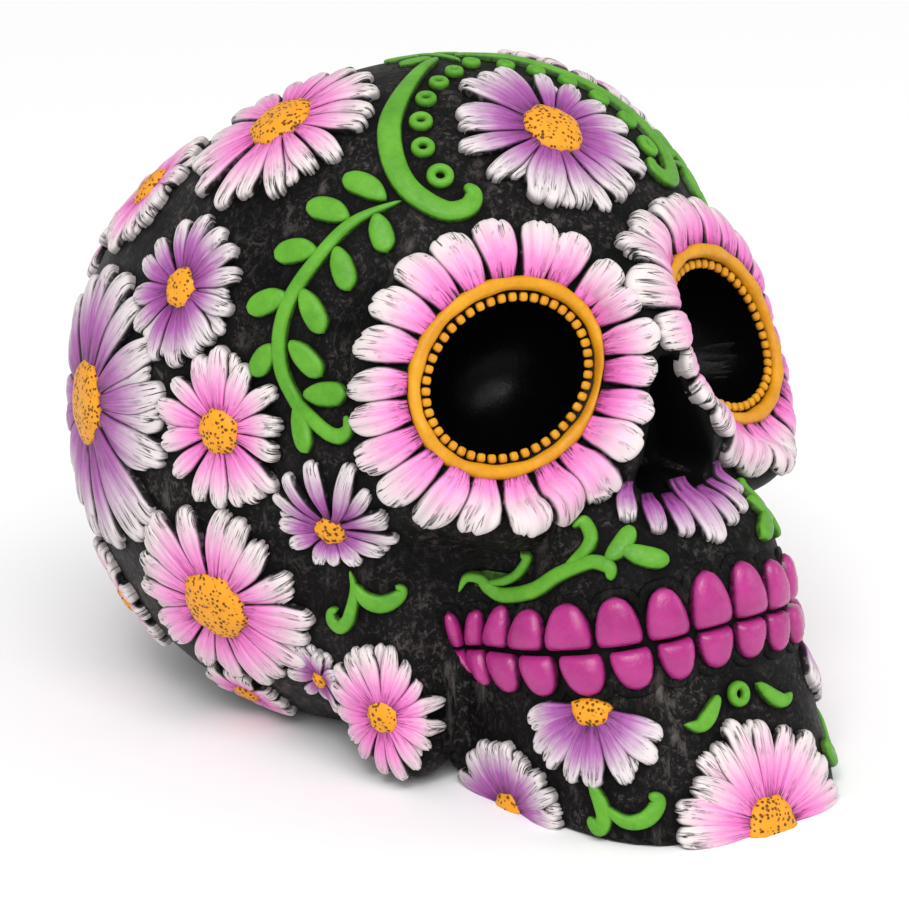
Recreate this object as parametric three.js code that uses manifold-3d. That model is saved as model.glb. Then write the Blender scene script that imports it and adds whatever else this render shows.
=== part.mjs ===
// A sugar skull: a cast skull with raised daisies, leaves, scrolls, eye rings and teeth.
// Millimetres, +Z up. The face looks towards -Y and the skull stands on its flat underside at z = 0.
// Everything is symmetrical about x = 0. Places on the skull are given as two angles in degrees seen from
// a point inside it: the turn from the front of the face towards the skull's left, and the rise.

import * as THREE from 'three';
import { mergeVertices } from 'three/addons/utils/BufferGeometryUtils.js';
import Module from 'manifold-3d';

const wasm = await Module();
wasm.setup();

// Braincase: an egg that narrows towards the face.
const caseCentre = [0, 30, 54];
const caseHalfWidth = 63.5;
const caseBackReach = 72.5;
const caseFrontReach = 73.5;
const caseTopReach = 62;
const caseBottomReach = 60;
const caseSquareness = 2.35;
const caseWidestY = 45;
const caseNarrowing = 149;

// Forehead and brow: ellipsoids melted into the egg.
const foreheadCentre = [0, 17, 84];
const foreheadRadii = [46, 38, 39];
const foreheadBlend = 20;
const browCentre = [0, -14, 69.5];
const browRadii = [37.5, 27.5, 26.5];
const browBlend = 16;

// Cheekbone: a tapered bar on each side.
const cheekFront = [27.5, -33, 58];
const cheekBack = [44, -6, 61];
const cheekFrontRadius = 10.5;
const cheekBackRadius = 10;
const cheekBlend = 9;

// Upper jaw, chin and the slab of the jaw's branch on each side.
const upperJawCentre = [0, -33.5, 35];
const upperJawRadii = [26, 28, 23];
const upperJawSquareness = 2.4;
const chinCentre = [0, -29, 8];
const chinRadii = [29.5, 34.5, 34];
const chinSquareness = 3;
const chinLean = 0.39;
const chinLeanFrom = 24;
const chinBlend = 8;
const branchCentre = [35.5, -4, 34];
const branchRadii = [10, 14, 33];
const branchSquareness = 2.6;
const branchLean = 0.34;
const palateCentre = [0, -4, 28];
const palateRadii = [32, 22, 30];
const jawBlend = 5;

// Eye sockets: a raised pad, a shallow dish, a deep bowl and a rolled rim round it, both an oval
// that leans in the eye's plane with its outer end lower.
const eyeCentre = [25.2, -30.5, 77.2];
const eyeAxis = [0.27, -0.905, 0.33];
const eyePadRadii = [23.5, 21, 8];
const eyePadSquareness = 2.6;
const eyePadBlend = 6;
const eyeDishRadii = [27, 24, 10.5];
const eyeDishRise = 9;
const eyeDishBlend = 4;
const eyeRimOuter = [19.9, 16.8];
const eyeOvalTilt = -30;
const eyeRimWidth = 2.9;
const eyeRimHeight = 2;
const eyeRimSteps = 36;
const eyeBowlMargin = 2.2;
const eyeBowlDepth = 17;
const eyePetalCount = 22;
const eyePetalLength = 8.6;
const eyePetalNotch = 0.6;
const eyePetalHeight = 1.3;

// Nose opening: an upside-down heart.
const noseCentre = [0, -46, 68];
const noseTilt = 17;
const noseTop = 12;
const noseHalfWidth = 8.2;
const noseLobe = 10;
const noseSeptum = 8;
const noseDepth = 13;

// Teeth: eight in each half of each row, set round the two jaws along the bite plane.
const biteHeight = 35.3;
const biteFrontY = -61;
const biteTilt = 13.3;
const biteGap = 0.7;
const archCentreY = -30;
const toothAngles = [16, 14.5, 15.5, 17.5, 16, 12.5, 6.5, 3];
const upperToothHeight = 9.2;
const lowerToothHeight = 7.4;
const toothBulge = 2.3;
const toothGapBulge = 0.4;
const toothGapDip = 0.22;
const jawSeamRoom = 0.6;
const jawSeamGap = 0.3;

// Relief: clearances and heights above the skull.
const seatClearance = 0.5;
const ruggedClearance = 1;
const skinBendRadius = 60;
const cutClearance = 0.3;
const petalHeight = 1.3;
const flowerEyeHeight = 2.6;
const leafHeight = 1.5;
const stemHeight = 1.4;
const midlineGap = 0.5;

// Petal outline: where its two tip corners stand across it, and how deep the notch between petals is.
const tipFrom = 0.27;
const tipTo = 0.73;
const notchDepth = 0.3;

// Leaf outline: shares of its width from foot to tip, and the least width.
const leafOutline = [0.25, 1, 0.9, 0.2];
const leafLeastWidth = 0.6;

// Facets of the skull.
const skullAround = 48;
const skullDown = 34;
const frontCrowding = 0.5;
const viewPoint = [0, 20, 60];
const farReach = 150;

const colours = {
  bone: 0x1d1c1c,
  pink: 0xe884c4,
  purple: 0xa862bd,
  green: 0x4fae2f,
  orange: 0xeea51e,
  magenta: 0xb92f8f,
};

const radians = THREE.MathUtils.degToRad;

function paint(colour, roughness) {
  return new THREE.MeshStandardMaterial({ color: colours[colour], roughness, metalness: 0 });
}

// Field of the skull: below zero inside, close to a distance outside.

function smoothMin(a, b, blend) {
  const mix = Math.max(blend - Math.abs(a - b), 0) / blend;
  return Math.min(a, b) - mix * mix * blend / 4;
}

function smoothMax(a, b, blend) {
  return -smoothMin(-a, -b, blend);
}

function roundedBlock(offset, radii, power) {
  let sum = 0;
  for (let i = 0; i < 3; i += 1) {
    sum += Math.pow(Math.abs(offset[i]) / radii[i] + 1e-9, power);
  }
  const level = Math.pow(sum, 1 / power);
  let slope = 0;
  for (let i = 0; i < 3; i += 1) {
    const part = Math.pow(Math.abs(offset[i]) / radii[i] + 1e-9, power - 1) / radii[i];
    slope += part * part;
  }
  return (level - 1) / Math.max(Math.sqrt(slope) * Math.pow(level, 1 - power), 1e-9);
}

function from(point, centre) {
  return [point[0] - centre[0], point[1] - centre[1], point[2] - centre[2]];
}

function braincase(point) {
  const [x, y, z] = from(point, caseCentre);
  const ahead = Math.max(caseWidestY - point[1], 0) / caseNarrowing;
  const halfWidth = caseHalfWidth * (1 - Math.min(ahead, 0.8) ** 2);
  const reachY = y > 0 ? caseBackReach : caseFrontReach;
  const reachZ = z > 0 ? caseTopReach : caseBottomReach;
  const section = Math.pow(Math.abs(x) / halfWidth + 1e-9, caseSquareness)
    + Math.pow(Math.abs(z) / reachZ + 1e-9, caseSquareness);
  const level = Math.sqrt(Math.pow(section, 2 / caseSquareness) + (y / reachY) ** 2);
  const slope = Math.hypot(x / halfWidth ** 2, y / reachY ** 2, z / reachZ ** 2);
  return level * (level - 1) / Math.max(slope, 1e-9);
}

function cheekbone(point) {
  const bar = from(cheekBack, cheekFront);
  const offset = from(point, cheekFront);
  const length = bar[0] ** 2 + bar[1] ** 2 + bar[2] ** 2;
  const raw = (offset[0] * bar[0] + offset[1] * bar[1] + offset[2] * bar[2]) / length;
  const along = Math.min(Math.max(raw, 0), 1);
  const away = Math.hypot(offset[0] - along * bar[0], offset[1] - along * bar[1], offset[2] - along * bar[2]);
  return away - cheekFrontRadius - along * (cheekBackRadius - cheekFrontRadius);
}

function leaned(point, lean, height) {
  return [point[0], point[1] - lean * (point[2] - height), point[2]];
}

const eyeOut = new THREE.Vector3(...eyeAxis).normalize();
const eyeSide = new THREE.Vector3(0, 0, 1).cross(eyeOut).normalize();
const eyeUp = new THREE.Vector3().crossVectors(eyeOut, eyeSide);
const ovalLong = eyeSide.clone().applyAxisAngle(eyeOut, radians(eyeOvalTilt));
const ovalShort = eyeUp.clone().applyAxisAngle(eyeOut, radians(eyeOvalTilt));

function fromEye(point, rise) {
  const offset = new THREE.Vector3(...from(point, eyeCentre)).addScaledVector(eyeOut, -rise);
  return [offset.dot(eyeSide), offset.dot(eyeUp), offset.dot(eyeOut)];
}

function skullField(x, y, z) {
  const point = [Math.abs(x), y, z];
  let head = braincase(point);
  head = smoothMin(head, roundedBlock(from(point, foreheadCentre), foreheadRadii, 2), foreheadBlend);
  head = smoothMin(head, roundedBlock(from(point, browCentre), browRadii, 2), browBlend);
  head = smoothMin(head, cheekbone(point), cheekBlend);
  let jaw = roundedBlock(from(point, upperJawCentre), upperJawRadii, upperJawSquareness);
  const chinPoint = leaned(point, chinLean, chinLeanFrom);
  jaw = smoothMin(jaw, roundedBlock(from(chinPoint, chinCentre), chinRadii, chinSquareness), chinBlend);
  const branchPoint = leaned(point, branchLean, branchCentre[2]);
  const branch = roundedBlock(from(branchPoint, branchCentre), branchRadii, branchSquareness);
  jaw = smoothMin(jaw, branch, jawBlend);
  jaw = smoothMin(jaw, roundedBlock(from(point, palateCentre), palateRadii, chinSquareness), jawBlend);
  let skull = smoothMin(head, jaw, jawBlend);
  const pad = roundedBlock(fromEye(point, -eyePadRadii[2]), eyePadRadii, eyePadSquareness);
  skull = smoothMin(skull, pad, eyePadBlend);
  const dish = roundedBlock(fromEye(point, eyeDishRise), eyeDishRadii, 2);
  return smoothMax(skull, -dish, eyeDishBlend);
}

function outwardAt(p) {
  const step = 0.1;
  return new THREE.Vector3(
    skullField(p.x + step, p.y, p.z) - skullField(p.x - step, p.y, p.z),
    skullField(p.x, p.y + step, p.z) - skullField(p.x, p.y - step, p.z),
    skullField(p.x, p.y, p.z + step) - skullField(p.x, p.y, p.z - step),
  ).divideScalar(2 * step);
}

// Moves a point to the nearest skin of the skull, then out from it by a height.
function settle(point, height) {
  const p = point.clone();
  for (let i = 0; i < 8; i += 1) {
    const slope = outwardAt(p);
    p.addScaledVector(slope, -skullField(p.x, p.y, p.z) / Math.max(slope.lengthSq(), 0.05));
  }
  return p.addScaledVector(outwardAt(p).normalize(), height);
}

// Finds the outermost skin of the skull along a ray.
function skinAlong(start, direction) {
  const at = (reach) => start.clone().addScaledVector(direction, reach);
  const value = (reach) => {
    const p = at(reach);
    return skullField(p.x, p.y, p.z);
  };
  const stride = 2;
  let outside = farReach;
  while (outside > stride && value(outside - stride) > 0) {
    outside -= stride;
  }
  let inside = outside - stride;
  for (let i = 0; i < 24; i += 1) {
    const middle = (inside + outside) / 2;
    if (value(middle) > 0) {
      outside = middle;
    } else {
      inside = middle;
    }
  }
  return at(inside);
}

function spot(turn, rise) {
  const direction = new THREE.Vector3(
    Math.sin(radians(turn)) * Math.cos(radians(rise)),
    -Math.cos(radians(turn)) * Math.cos(radians(rise)),
    Math.sin(radians(rise)),
  );
  return skinAlong(new THREE.Vector3(...viewPoint), direction);
}

// Solids: closed meshes handed to the boolean library and back.

function solidOf(geometry) {
  const bare = geometry.clone();
  bare.deleteAttribute('normal');
  bare.deleteAttribute('uv');
  const merged = mergeVertices(bare, 1e-4);
  return new wasm.Manifold(new wasm.Mesh({
    numProp: 3,
    vertProperties: new Float32Array(merged.attributes.position.array),
    triVerts: new Uint32Array(merged.index.array),
  }));
}

function geometryOf(solid) {
  const result = solid.getMesh();
  const geometry = new THREE.BufferGeometry();
  geometry.setAttribute('position', new THREE.BufferAttribute(result.vertProperties, 3));
  geometry.setIndex(new THREE.BufferAttribute(result.triVerts, 1));
  return geometry;
}

function meshOf(name, solid, material) {
  const geometry = geometryOf(solid);
  geometry.computeVertexNormals();
  const mesh = new THREE.Mesh(geometry, material);
  mesh.name = name;
  return mesh;
}

function solidFrom(points, faces) {
  const geometry = new THREE.BufferGeometry();
  const numbers = points.flatMap((p) => [p.x, p.y, p.z]);
  geometry.setAttribute('position', new THREE.Float32BufferAttribute(numbers, 3));
  geometry.setIndex(faces.flat());
  return solidOf(geometry);
}

// The other side's copy, with its triangles turned round so that they still face out.
function mirrored(solid) {
  const geometry = geometryOf(solid).scale(-1, 1, 1);
  geometry.index.array.reverse();
  return solidOf(geometry);
}

function boxSolid(low, high) {
  const box = new THREE.BoxGeometry(high[0] - low[0], high[1] - low[1], high[2] - low[2]);
  box.translate((low[0] + high[0]) / 2, (low[1] + high[1]) / 2, (low[2] + high[2]) / 2);
  return solidOf(box);
}

function joined(solids) {
  return solids.reduce((whole, solid) => whole.add(solid));
}

// The skull's skin as a sphere whose points are moved out to the field, closer together at the face.
function skinSolid(grow) {
  const geometry = new THREE.SphereGeometry(1, skullAround, skullDown);
  const place = geometry.attributes.position;
  for (let i = 0; i < place.count; i += 1) {
    const around = Math.atan2(place.getX(i), place.getZ(i));
    const turn = around - frontCrowding * Math.sin(around);
    const polar = Math.acos(THREE.MathUtils.clamp(place.getY(i), -1, 1));
    const direction = new THREE.Vector3(
      Math.sin(turn) * Math.sin(polar),
      -Math.cos(turn) * Math.sin(polar),
      Math.cos(polar),
    );
    const skin = skinAlong(new THREE.Vector3(...viewPoint), direction);
    const out = outwardAt(skin).normalize();
    skin.addScaledVector(out, grow);
    place.setXYZ(i, skin.x, skin.y, skin.z);
  }
  return solidOf(geometry);
}

const wholeSkin = skinSolid(0);
const grownSkin = skinSolid(cutClearance);
const underside = boxSolid([-farReach, -farReach, -farReach], [farReach, farReach, 0]);

// Relief stays clear of the skull's facets and ends at the flat underside.
function fitted(solid) {
  return solid.subtract(grownSkin).subtract(underside);
}

// A frame on the skin: out of the skull, up along it, and across.
function frameAt(turn, rise) {
  const origin = spot(turn, rise);
  const out = outwardAt(origin).normalize();
  const across = new THREE.Vector3(0, 0, 1).cross(out).normalize();
  const up = new THREE.Vector3().crossVectors(out, across);
  return { origin, across, up };
}

function laidOn(frame, radius, angle, height) {
  const flat = frame.origin.clone()
    .addScaledVector(frame.across, radius * Math.cos(angle))
    .addScaledVector(frame.up, radius * Math.sin(angle));
  return settle(flat, height);
}

// A daisy, whole or a fan, with its petals joined round a domed eye.
function daisy(turn, rise, radius, eyeRadius, petals, fanFrom, fanSweep) {
  const frame = frameAt(turn, rise);
  const whole = fanSweep >= 360;
  const start = radians(fanFrom);
  const pitch = radians(fanSweep) / petals;
  const points = [];
  const faces = [];
  const put = (r, angle, height) => points.push(laidOn(frame, r, angle, height)) - 1;
  // a straight petal bridges the bend of the skin, so its foot is lifted by that much
  const low = seatClearance + (radius - eyeRadius) ** 2 / (8 * skinBendRadius);
  const high = low + petalHeight;
  const foot = put(0, 0, low);
  const crest = put(0, 0, low + flowerEyeHeight);
  const notchRadius = radius - (radius - eyeRadius) * notchDepth;
  const columns = [];
  const columnCount = whole ? petals : petals + 1;
  for (let k = 0; k < columnCount; k += 1) {
    const angle = start + k * pitch;
    columns.push({
      footInner: put(eyeRadius, angle, low),
      footNotch: put(notchRadius, angle, low),
      topNotch: put(notchRadius, angle, high),
      topInner: put(eyeRadius, angle, high),
      dome: put(eyeRadius * 0.55, angle, low + flowerEyeHeight * 0.9),
    });
  }
  for (let k = 0; k < petals; k += 1) {
    const a = columns[k];
    const b = columns[(k + 1) % columnCount];
    const left = start + (k + tipFrom) * pitch;
    const right = start + (k + tipTo) * pitch;
    const footLeft = put(radius, left, low);
    const footRight = put(radius, right, low);
    const topLeft = put(radius, left, high);
    const topRight = put(radius, right, high);
    faces.push([a.topInner, a.topNotch, topLeft], [a.topInner, topLeft, topRight]);
    faces.push([a.topInner, topRight, b.topInner], [b.topInner, topRight, b.topNotch]);
    faces.push([a.topInner, b.topInner, b.dome], [a.topInner, b.dome, a.dome], [a.dome, b.dome, crest]);
    faces.push([a.footInner, footLeft, a.footNotch], [a.footInner, footRight, footLeft]);
    faces.push([a.footInner, b.footInner, footRight], [b.footInner, b.footNotch, footRight]);
    faces.push([foot, b.footInner, a.footInner]);
    faces.push([a.footNotch, footLeft, topLeft], [a.footNotch, topLeft, a.topNotch]);
    faces.push([footLeft, footRight, topRight], [footLeft, topRight, topLeft]);
    faces.push([footRight, b.footNotch, b.topNotch], [footRight, b.topNotch, topRight]);
  }
  if (!whole) {
    const first = columns[0];
    const last = columns[petals];
    const side = (c) => [
      [c.footInner, c.footNotch, c.topNotch],
      [c.footInner, c.topNotch, c.topInner],
      [foot, c.footInner, c.topInner],
      [foot, c.topInner, c.dome],
      [foot, c.dome, crest],
    ];
    faces.push(...side(first), ...side(last).map(([p, q, r]) => [p, r, q]));
  }
  return solidFrom(points, faces);
}

// A strip along points on the skin, with a width at each point, higher along its middle.
function strip(directions, widths, height, steps, clearance) {
  const guide = new THREE.CatmullRomCurve3(directions.map(([turn, rise]) => spot(turn, rise)));
  const width = new THREE.CatmullRomCurve3(widths.map((w, i) => new THREE.Vector3(i, w, 0)));
  const points = [];
  const faces = [];
  for (let i = 0; i <= steps; i += 1) {
    const along = i / steps;
    const middle = settle(guide.getPoint(along), 0);
    const out = outwardAt(middle).normalize();
    const side = out.clone().cross(guide.getTangent(along)).normalize();
    const half = width.getPoint(along).y / 2;
    const left = middle.clone().addScaledVector(side, half);
    const right = middle.clone().addScaledVector(side, -half);
    points.push(settle(right, clearance), settle(right, clearance + height * 0.5));
    points.push(settle(middle, clearance + height));
    points.push(settle(left, clearance + height * 0.5), settle(left, clearance));
  }
  const ring = 5;
  for (let i = 0; i < steps; i += 1) {
    for (let j = 0; j < ring; j += 1) {
      const a = i * ring + j;
      const b = i * ring + (j + 1) % ring;
      faces.push([a, a + ring, b + ring], [a, b + ring, b]);
    }
  }
  const end = steps * ring;
  for (let j = 1; j < ring - 1; j += 1) {
    faces.push([0, j, j + 1], [end, end + j + 1, end + j]);
  }
  return solidFrom(points, faces);
}

// A leaf from its foot to its tip, both given as places on the skin.
function leaf(footPlace, tipPlace, width, clearance) {
  const widths = leafOutline.map((share) => Math.max(share * width, leafLeastWidth));
  const middle = [(footPlace[0] + tipPlace[0]) / 2, (footPlace[1] + tipPlace[1]) / 2];
  return strip([footPlace, middle, tipPlace], widths, leafHeight, leafOutline.length - 1, clearance);
}

function sprig(stem, stemWidths, steps, leaves, clearance) {
  const parts = [strip(stem, stemWidths, stemHeight, steps, clearance)];
  for (const [footPlace, tipPlace, width] of leaves) {
    parts.push(leaf(footPlace, tipPlace, width, clearance));
  }
  return joined(parts);
}

// Eye socket bowl, rim and petals, in the frame of the skull's left eye.

function onEye(radiusLong, radiusShort, angle, height) {
  const flat = new THREE.Vector3(...eyeCentre)
    .addScaledVector(ovalLong, radiusLong * Math.cos(angle))
    .addScaledVector(ovalShort, radiusShort * Math.sin(angle));
  return settle(flat, height);
}

function eyeBowl() {
  const sphere = new THREE.SphereGeometry(1, 20, 12);
  const margin = eyeRimWidth + eyeBowlMargin;
  sphere.scale(eyeRimOuter[0] - margin, eyeRimOuter[1] - margin, eyeBowlDepth);
  const turn = new THREE.Matrix4().makeBasis(ovalLong, ovalShort, eyeOut).setPosition(...eyeCentre);
  return solidOf(sphere.applyMatrix4(turn));
}

// Faces of a closed ring of equal sections, each section listed inside, outside, then back over the top.
function ringFaces(sections, ring) {
  const faces = [];
  for (let i = 0; i < sections; i += 1) {
    const next = (i + 1) % sections;
    for (let j = 0; j < ring; j += 1) {
      const a = i * ring + j;
      const b = i * ring + (j + 1) % ring;
      const c = next * ring + j;
      const d = next * ring + (j + 1) % ring;
      faces.push([a, c, d], [a, d, b]);
    }
  }
  return faces;
}

function eyeRim() {
  const section = [[0, 0], [1, 0], [1, 0.65], [0.7, 1], [0.3, 1], [0, 0.65]];
  const points = [];
  for (let i = 0; i < eyeRimSteps; i += 1) {
    const angle = i / eyeRimSteps * 2 * Math.PI;
    for (const [outward, share] of section) {
      const inset = eyeRimWidth * (1 - outward);
      const height = seatClearance + eyeRimHeight * share;
      points.push(onEye(eyeRimOuter[0] - inset, eyeRimOuter[1] - inset, angle, height));
    }
  }
  return solidFrom(points, ringFaces(eyeRimSteps, section.length));
}

function eyePetals() {
  const low = ruggedClearance;
  const high = ruggedClearance + eyePetalHeight;
  const section = [[0, low], [0.5, low], [1, low], [1, high], [0.5, high], [0, high]];
  const columns = [];
  for (let k = 0; k < eyePetalCount; k += 1) {
    columns.push([k, eyePetalLength * eyePetalNotch]);
    columns.push([k + tipFrom, eyePetalLength], [k + tipTo, eyePetalLength]);
  }
  const points = [];
  for (const [turn, length] of columns) {
    const angle = turn / eyePetalCount * 2 * Math.PI;
    const place = (reach, height) => {
      const grow = seatClearance + reach;
      return onEye(eyeRimOuter[0] + grow, eyeRimOuter[1] + grow, angle, height);
    };
    let reach = length;
    while (reach > 0.5 && place(reach, high).x < midlineGap) {
      reach -= 0.25;
    }
    for (const [share, height] of section) {
      points.push(place(reach * share, height));
    }
  }
  return solidFrom(points, ringFaces(columns.length, section.length));
}

// Nose opening, cut square into the face.
function noseCut() {
  const heart = new THREE.Shape();
  const wide = noseHalfWidth;
  const septumWide = noseHalfWidth * 0.18;
  const lobeSide = -noseLobe * 0.6;
  const lobeFoot = -noseLobe * 1.2;
  heart.moveTo(0, noseTop);
  heart.bezierCurveTo(wide * 0.5, noseTop * 0.8, wide, 0, wide, lobeSide);
  heart.bezierCurveTo(wide, lobeFoot, septumWide, lobeFoot, 0, -noseSeptum);
  heart.bezierCurveTo(-septumWide, lobeFoot, -wide, lobeFoot, -wide, lobeSide);
  heart.bezierCurveTo(-wide, 0, -wide * 0.5, noseTop * 0.8, 0, noseTop);
  const shape = { depth: 2 * noseDepth, bevelEnabled: false, curveSegments: 5 };
  const block = new THREE.ExtrudeGeometry(heart, shape);
  block.translate(0, 0, -noseDepth);
  block.rotateX(radians(90 - noseTilt));
  block.translate(...noseCentre);
  return solidOf(block);
}

// Height of the bite plane, which falls away towards the back.
function biteAt(y) {
  return biteHeight - Math.tan(radians(biteTilt)) * (y - biteFrontY);
}

// Finds the first skin met on the way out from a point inside the skull.
function firstSkinAlong(start, direction) {
  const stride = 0.1;
  const p = start.clone();
  while (skullField(p.x, p.y, p.z) < 0) {
    p.addScaledVector(direction, stride);
  }
  return p;
}

// One row of teeth round the jaw, from the bite plane up or down.
function toothRow(upward, height) {
  const edges = [0];
  for (const angle of toothAngles) {
    edges.push(edges[edges.length - 1] + angle);
  }
  const columns = [];
  for (let side = -1; side <= 1; side += 2) {
    for (let k = 0; k < toothAngles.length; k += 1) {
      const span = toothAngles[k];
      columns.push([side * (edges[k] + span * 0.25), toothBulge, 0]);
      columns.push([side * (edges[k] + span * 0.75), toothBulge, 0]);
      columns.push([side * edges[k + 1], toothGapBulge, toothGapDip]);
    }
  }
  columns.push([0, toothGapBulge, toothGapDip]);
  columns.sort((a, b) => a[0] - b[0]);
  const rows = [[0, 0], [0, 0.75], [0.4, 1], [0.85, 0.7], [1, 0.3], [1, 0]];
  const points = [];
  const faces = [];
  for (const [angle, bulge, dip] of columns) {
    const direction = new THREE.Vector3(Math.sin(radians(angle)), -Math.cos(radians(angle)), 0);
    const edge = new THREE.Vector3(0, archCentreY, biteAt(archCentreY));
    const bite = biteAt(firstSkinAlong(edge, direction).y);
    for (const [share, out] of rows) {
      const above = upward * (biteGap / 2 + height * share * (1 - dip));
      const skin = firstSkinAlong(new THREE.Vector3(0, archCentreY, bite + above), direction);
      points.push(settle(skin, ruggedClearance + bulge * out));
    }
  }
  const ring = rows.length;
  const face = (a, b, c) => faces.push(upward > 0 ? [a, b, c] : [a, c, b]);
  for (let i = 0; i < columns.length - 1; i += 1) {
    for (let j = 0; j < ring; j += 1) {
      const a = i * ring + j;
      const b = i * ring + (j + 1) % ring;
      face(a, a + ring, b + ring);
      face(a, b + ring, b);
    }
  }
  const end = (columns.length - 1) * ring;
  for (let j = 1; j < ring - 1; j += 1) {
    face(0, j, j + 1);
    face(end, end + j + 1, end + j);
  }
  return solidFrom(points, faces);
}

// The cast skull, parted along the bite plane and in front of the jaw's branches, which lean.
function jawBlock(gap) {
  const below = new THREE.BoxGeometry(2 * farReach, 2 * farReach, farReach);
  below.translate(0, 0, -farReach / 2);
  below.rotateX(radians(-biteTilt));
  below.translate(0, 0, biteAt(0) + gap);
  const ahead = new THREE.BoxGeometry(2 * farReach, farReach, 2 * farReach);
  ahead.translate(0, -farReach / 2, 0);
  ahead.rotateX(-Math.atan(branchLean));
  ahead.translate(0, branchCentre[1] - branchRadii[1] - jawSeamRoom + gap, branchCentre[2]);
  return solidOf(below).intersect(solidOf(ahead));
}

const hollows = joined([eyeBowl(), mirrored(eyeBowl()), noseCut()]);
const standing = wholeSkin.subtract(underside);
const cranium = standing.subtract(hollows).subtract(jawBlock(jawSeamGap / 2));
const lowerJaw = standing.intersect(jawBlock(-jawSeamGap / 2));

const skull = new THREE.Group();

skull.add(meshOf('cranium', cranium, paint('bone', 0.5)));
skull.add(meshOf('lower_jaw', lowerJaw, paint('bone', 0.5)));

function addOne(name, solid, colour, roughness) {
  skull.add(meshOf(name, fitted(solid), paint(colour, roughness)));
}

function addPair(name, solid, colour, roughness) {
  addOne(`left_${name}`, solid, colour, roughness);
  addOne(`right_${name}`, mirrored(solid), colour, roughness);
}

addOne('upper_teeth', toothRow(1, upperToothHeight), 'magenta', 0.25);
addOne('lower_teeth', toothRow(-1, lowerToothHeight), 'magenta', 0.25);
addPair('eye_rim', eyeRim(), 'orange', 0.45);
addPair('eye_petals', eyePetals(), 'pink', 0.5);
addOne('nose_petals', daisy(0, -3, 8.5, 2.2, 5, 195, 150), 'purple', 0.5);

// Daisies: name, colour, turn, rise, radius, radius of the eye, petals.
addOne('forehead_daisy', daisy(0, 61, 17, 5.6, 20, 0, 360), 'purple', 0.5);
addOne('back_daisy', daisy(180, 4, 19, 5.6, 18, 0, 360), 'purple', 0.5);
addOne('back_top_daisy', daisy(180, 47, 15, 4.6, 16, 0, 360), 'pink', 0.5);
addOne('back_base_daisy', daisy(180, -33, 11, 3.6, 13, 0, 360), 'pink', 0.5);
addOne('chin_daisy', daisy(0, -32.6, 16, 5, 12, 0, 180), 'pink', 0.5);

const pairedDaisies = [
  ['crown_daisy', 'pink', 97, 58, 18, 6, 20],
  ['rear_top_daisy', 'pink', 132, 35, 13.5, 4.2, 15],
  ['temple_daisy', 'purple', 94, 26, 12.3, 3.6, 13],
  ['side_daisy', 'purple', 121, 1, 23.5, 7.4, 18],
  ['mid_daisy', 'pink', 81, 4, 13, 4, 14],
  ['low_daisy', 'pink', 85, -28, 17, 6, 18],
  ['cheek_daisy', 'purple', 61, -11, 9, 3.2, 12],
  ['jaw_corner_daisy', 'pink', 50, -37, 11, 3.4, 15],
  ['behind_jaw_daisy', 'purple', 68, -42, 5, 1.7, 9],
  ['rear_low_daisy', 'pink', 124, -33, 11, 3.4, 14],
  ['base_daisy', 'pink', 96, -50, 8, 2.6, 12],
  ['back_mid_daisy', 'pink', 151, 21, 11, 3.6, 14],
  ['back_low_daisy', 'purple', 152, -24, 12.5, 4, 15],
];
for (const [name, colour, turn, rise, radius, eyeRadius, petals] of pairedDaisies) {
  addPair(name, daisy(turn, rise, radius, eyeRadius, petals, 0, 360), colour, 0.5);
}
addPair('jaw_daisy', daisy(18.5, -25.6, 12.5, 3.4, 9, 190, 160), 'purple', 0.5);
addPair('jaw_base_daisy', daisy(27, -42.3, 11, 3.2, 9, 10, 160), 'purple', 0.5);

// Green scrolls, leaf sprays and sprigs, as places on the skin.
const scrollPath = [
  [56, 84],
  [58, 76],
  [57.5, 64.5],
  [55, 58],
  [50, 52],
  [45, 48.5],
  [38, 46],
  [33, 46.5],
  [33, 49],
];
const scrollWidths = [1.6, 3, 4, 4, 4, 3.6, 3.2, 3, 2];
addPair('brow_scroll', sprig(scrollPath, scrollWidths, 16, [], seatClearance), 'green', 0.4);

const sprayPath = [[50, 45.5], [58.5, 42], [65, 34.5], [68.5, 28], [69.5, 22], [68, 16], [64, 11], [60, 8]];
const sprayLeaves = [
  [[56, 43.5], [59, 50.5], 4.2],
  [[62, 38.5], [67.5, 44], 4.2],
  [[58.5, 42], [51.5, 39.5], 4.2],
  [[66.5, 31.5], [73, 36.5], 4.2],
  [[64.5, 35], [57, 34], 4.2],
  [[69, 25], [76, 27.5], 4.2],
  [[68.5, 28], [61, 26.5], 4.2],
  [[68.5, 18], [75.5, 17.5], 4],
  [[69, 21], [61.5, 19.5], 4],
];
const sprayWidths = [1.6, 2, 2.2, 2.2, 2.2, 2.2, 2, 1.6];
addPair('leaf_spray', sprig(sprayPath, sprayWidths, 12, sprayLeaves, seatClearance), 'green', 0.4);

const cheekSprig = [[55, -19.5], [54, -23], [55.5, -26.5], [58, -28.3]];
const cheekLeaves = [[[54, -22], [47.5, -23.5], 3]];
addPair('cheek_sprig', sprig(cheekSprig, [1.4, 2, 2.4, 2], 8, cheekLeaves, seatClearance), 'green', 0.4);

const lipPath = [[32, -19.3], [29, -18], [26, -17.4], [22.5, -15.3], [18.5, -12], [15, -10], [11.5, -9.6]];
const lipLeaves = [
  [[26, -17.2], [25, -12], 2.4],
  [[17, -11], [16.2, -7.6], 2.2],
];
const lipWidths = [1.2, 2.2, 3, 3, 2.6, 2.2, 1.6];
addPair('lip_scroll', sprig(lipPath, lipWidths, 14, lipLeaves, ruggedClearance), 'green', 0.4);

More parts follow.
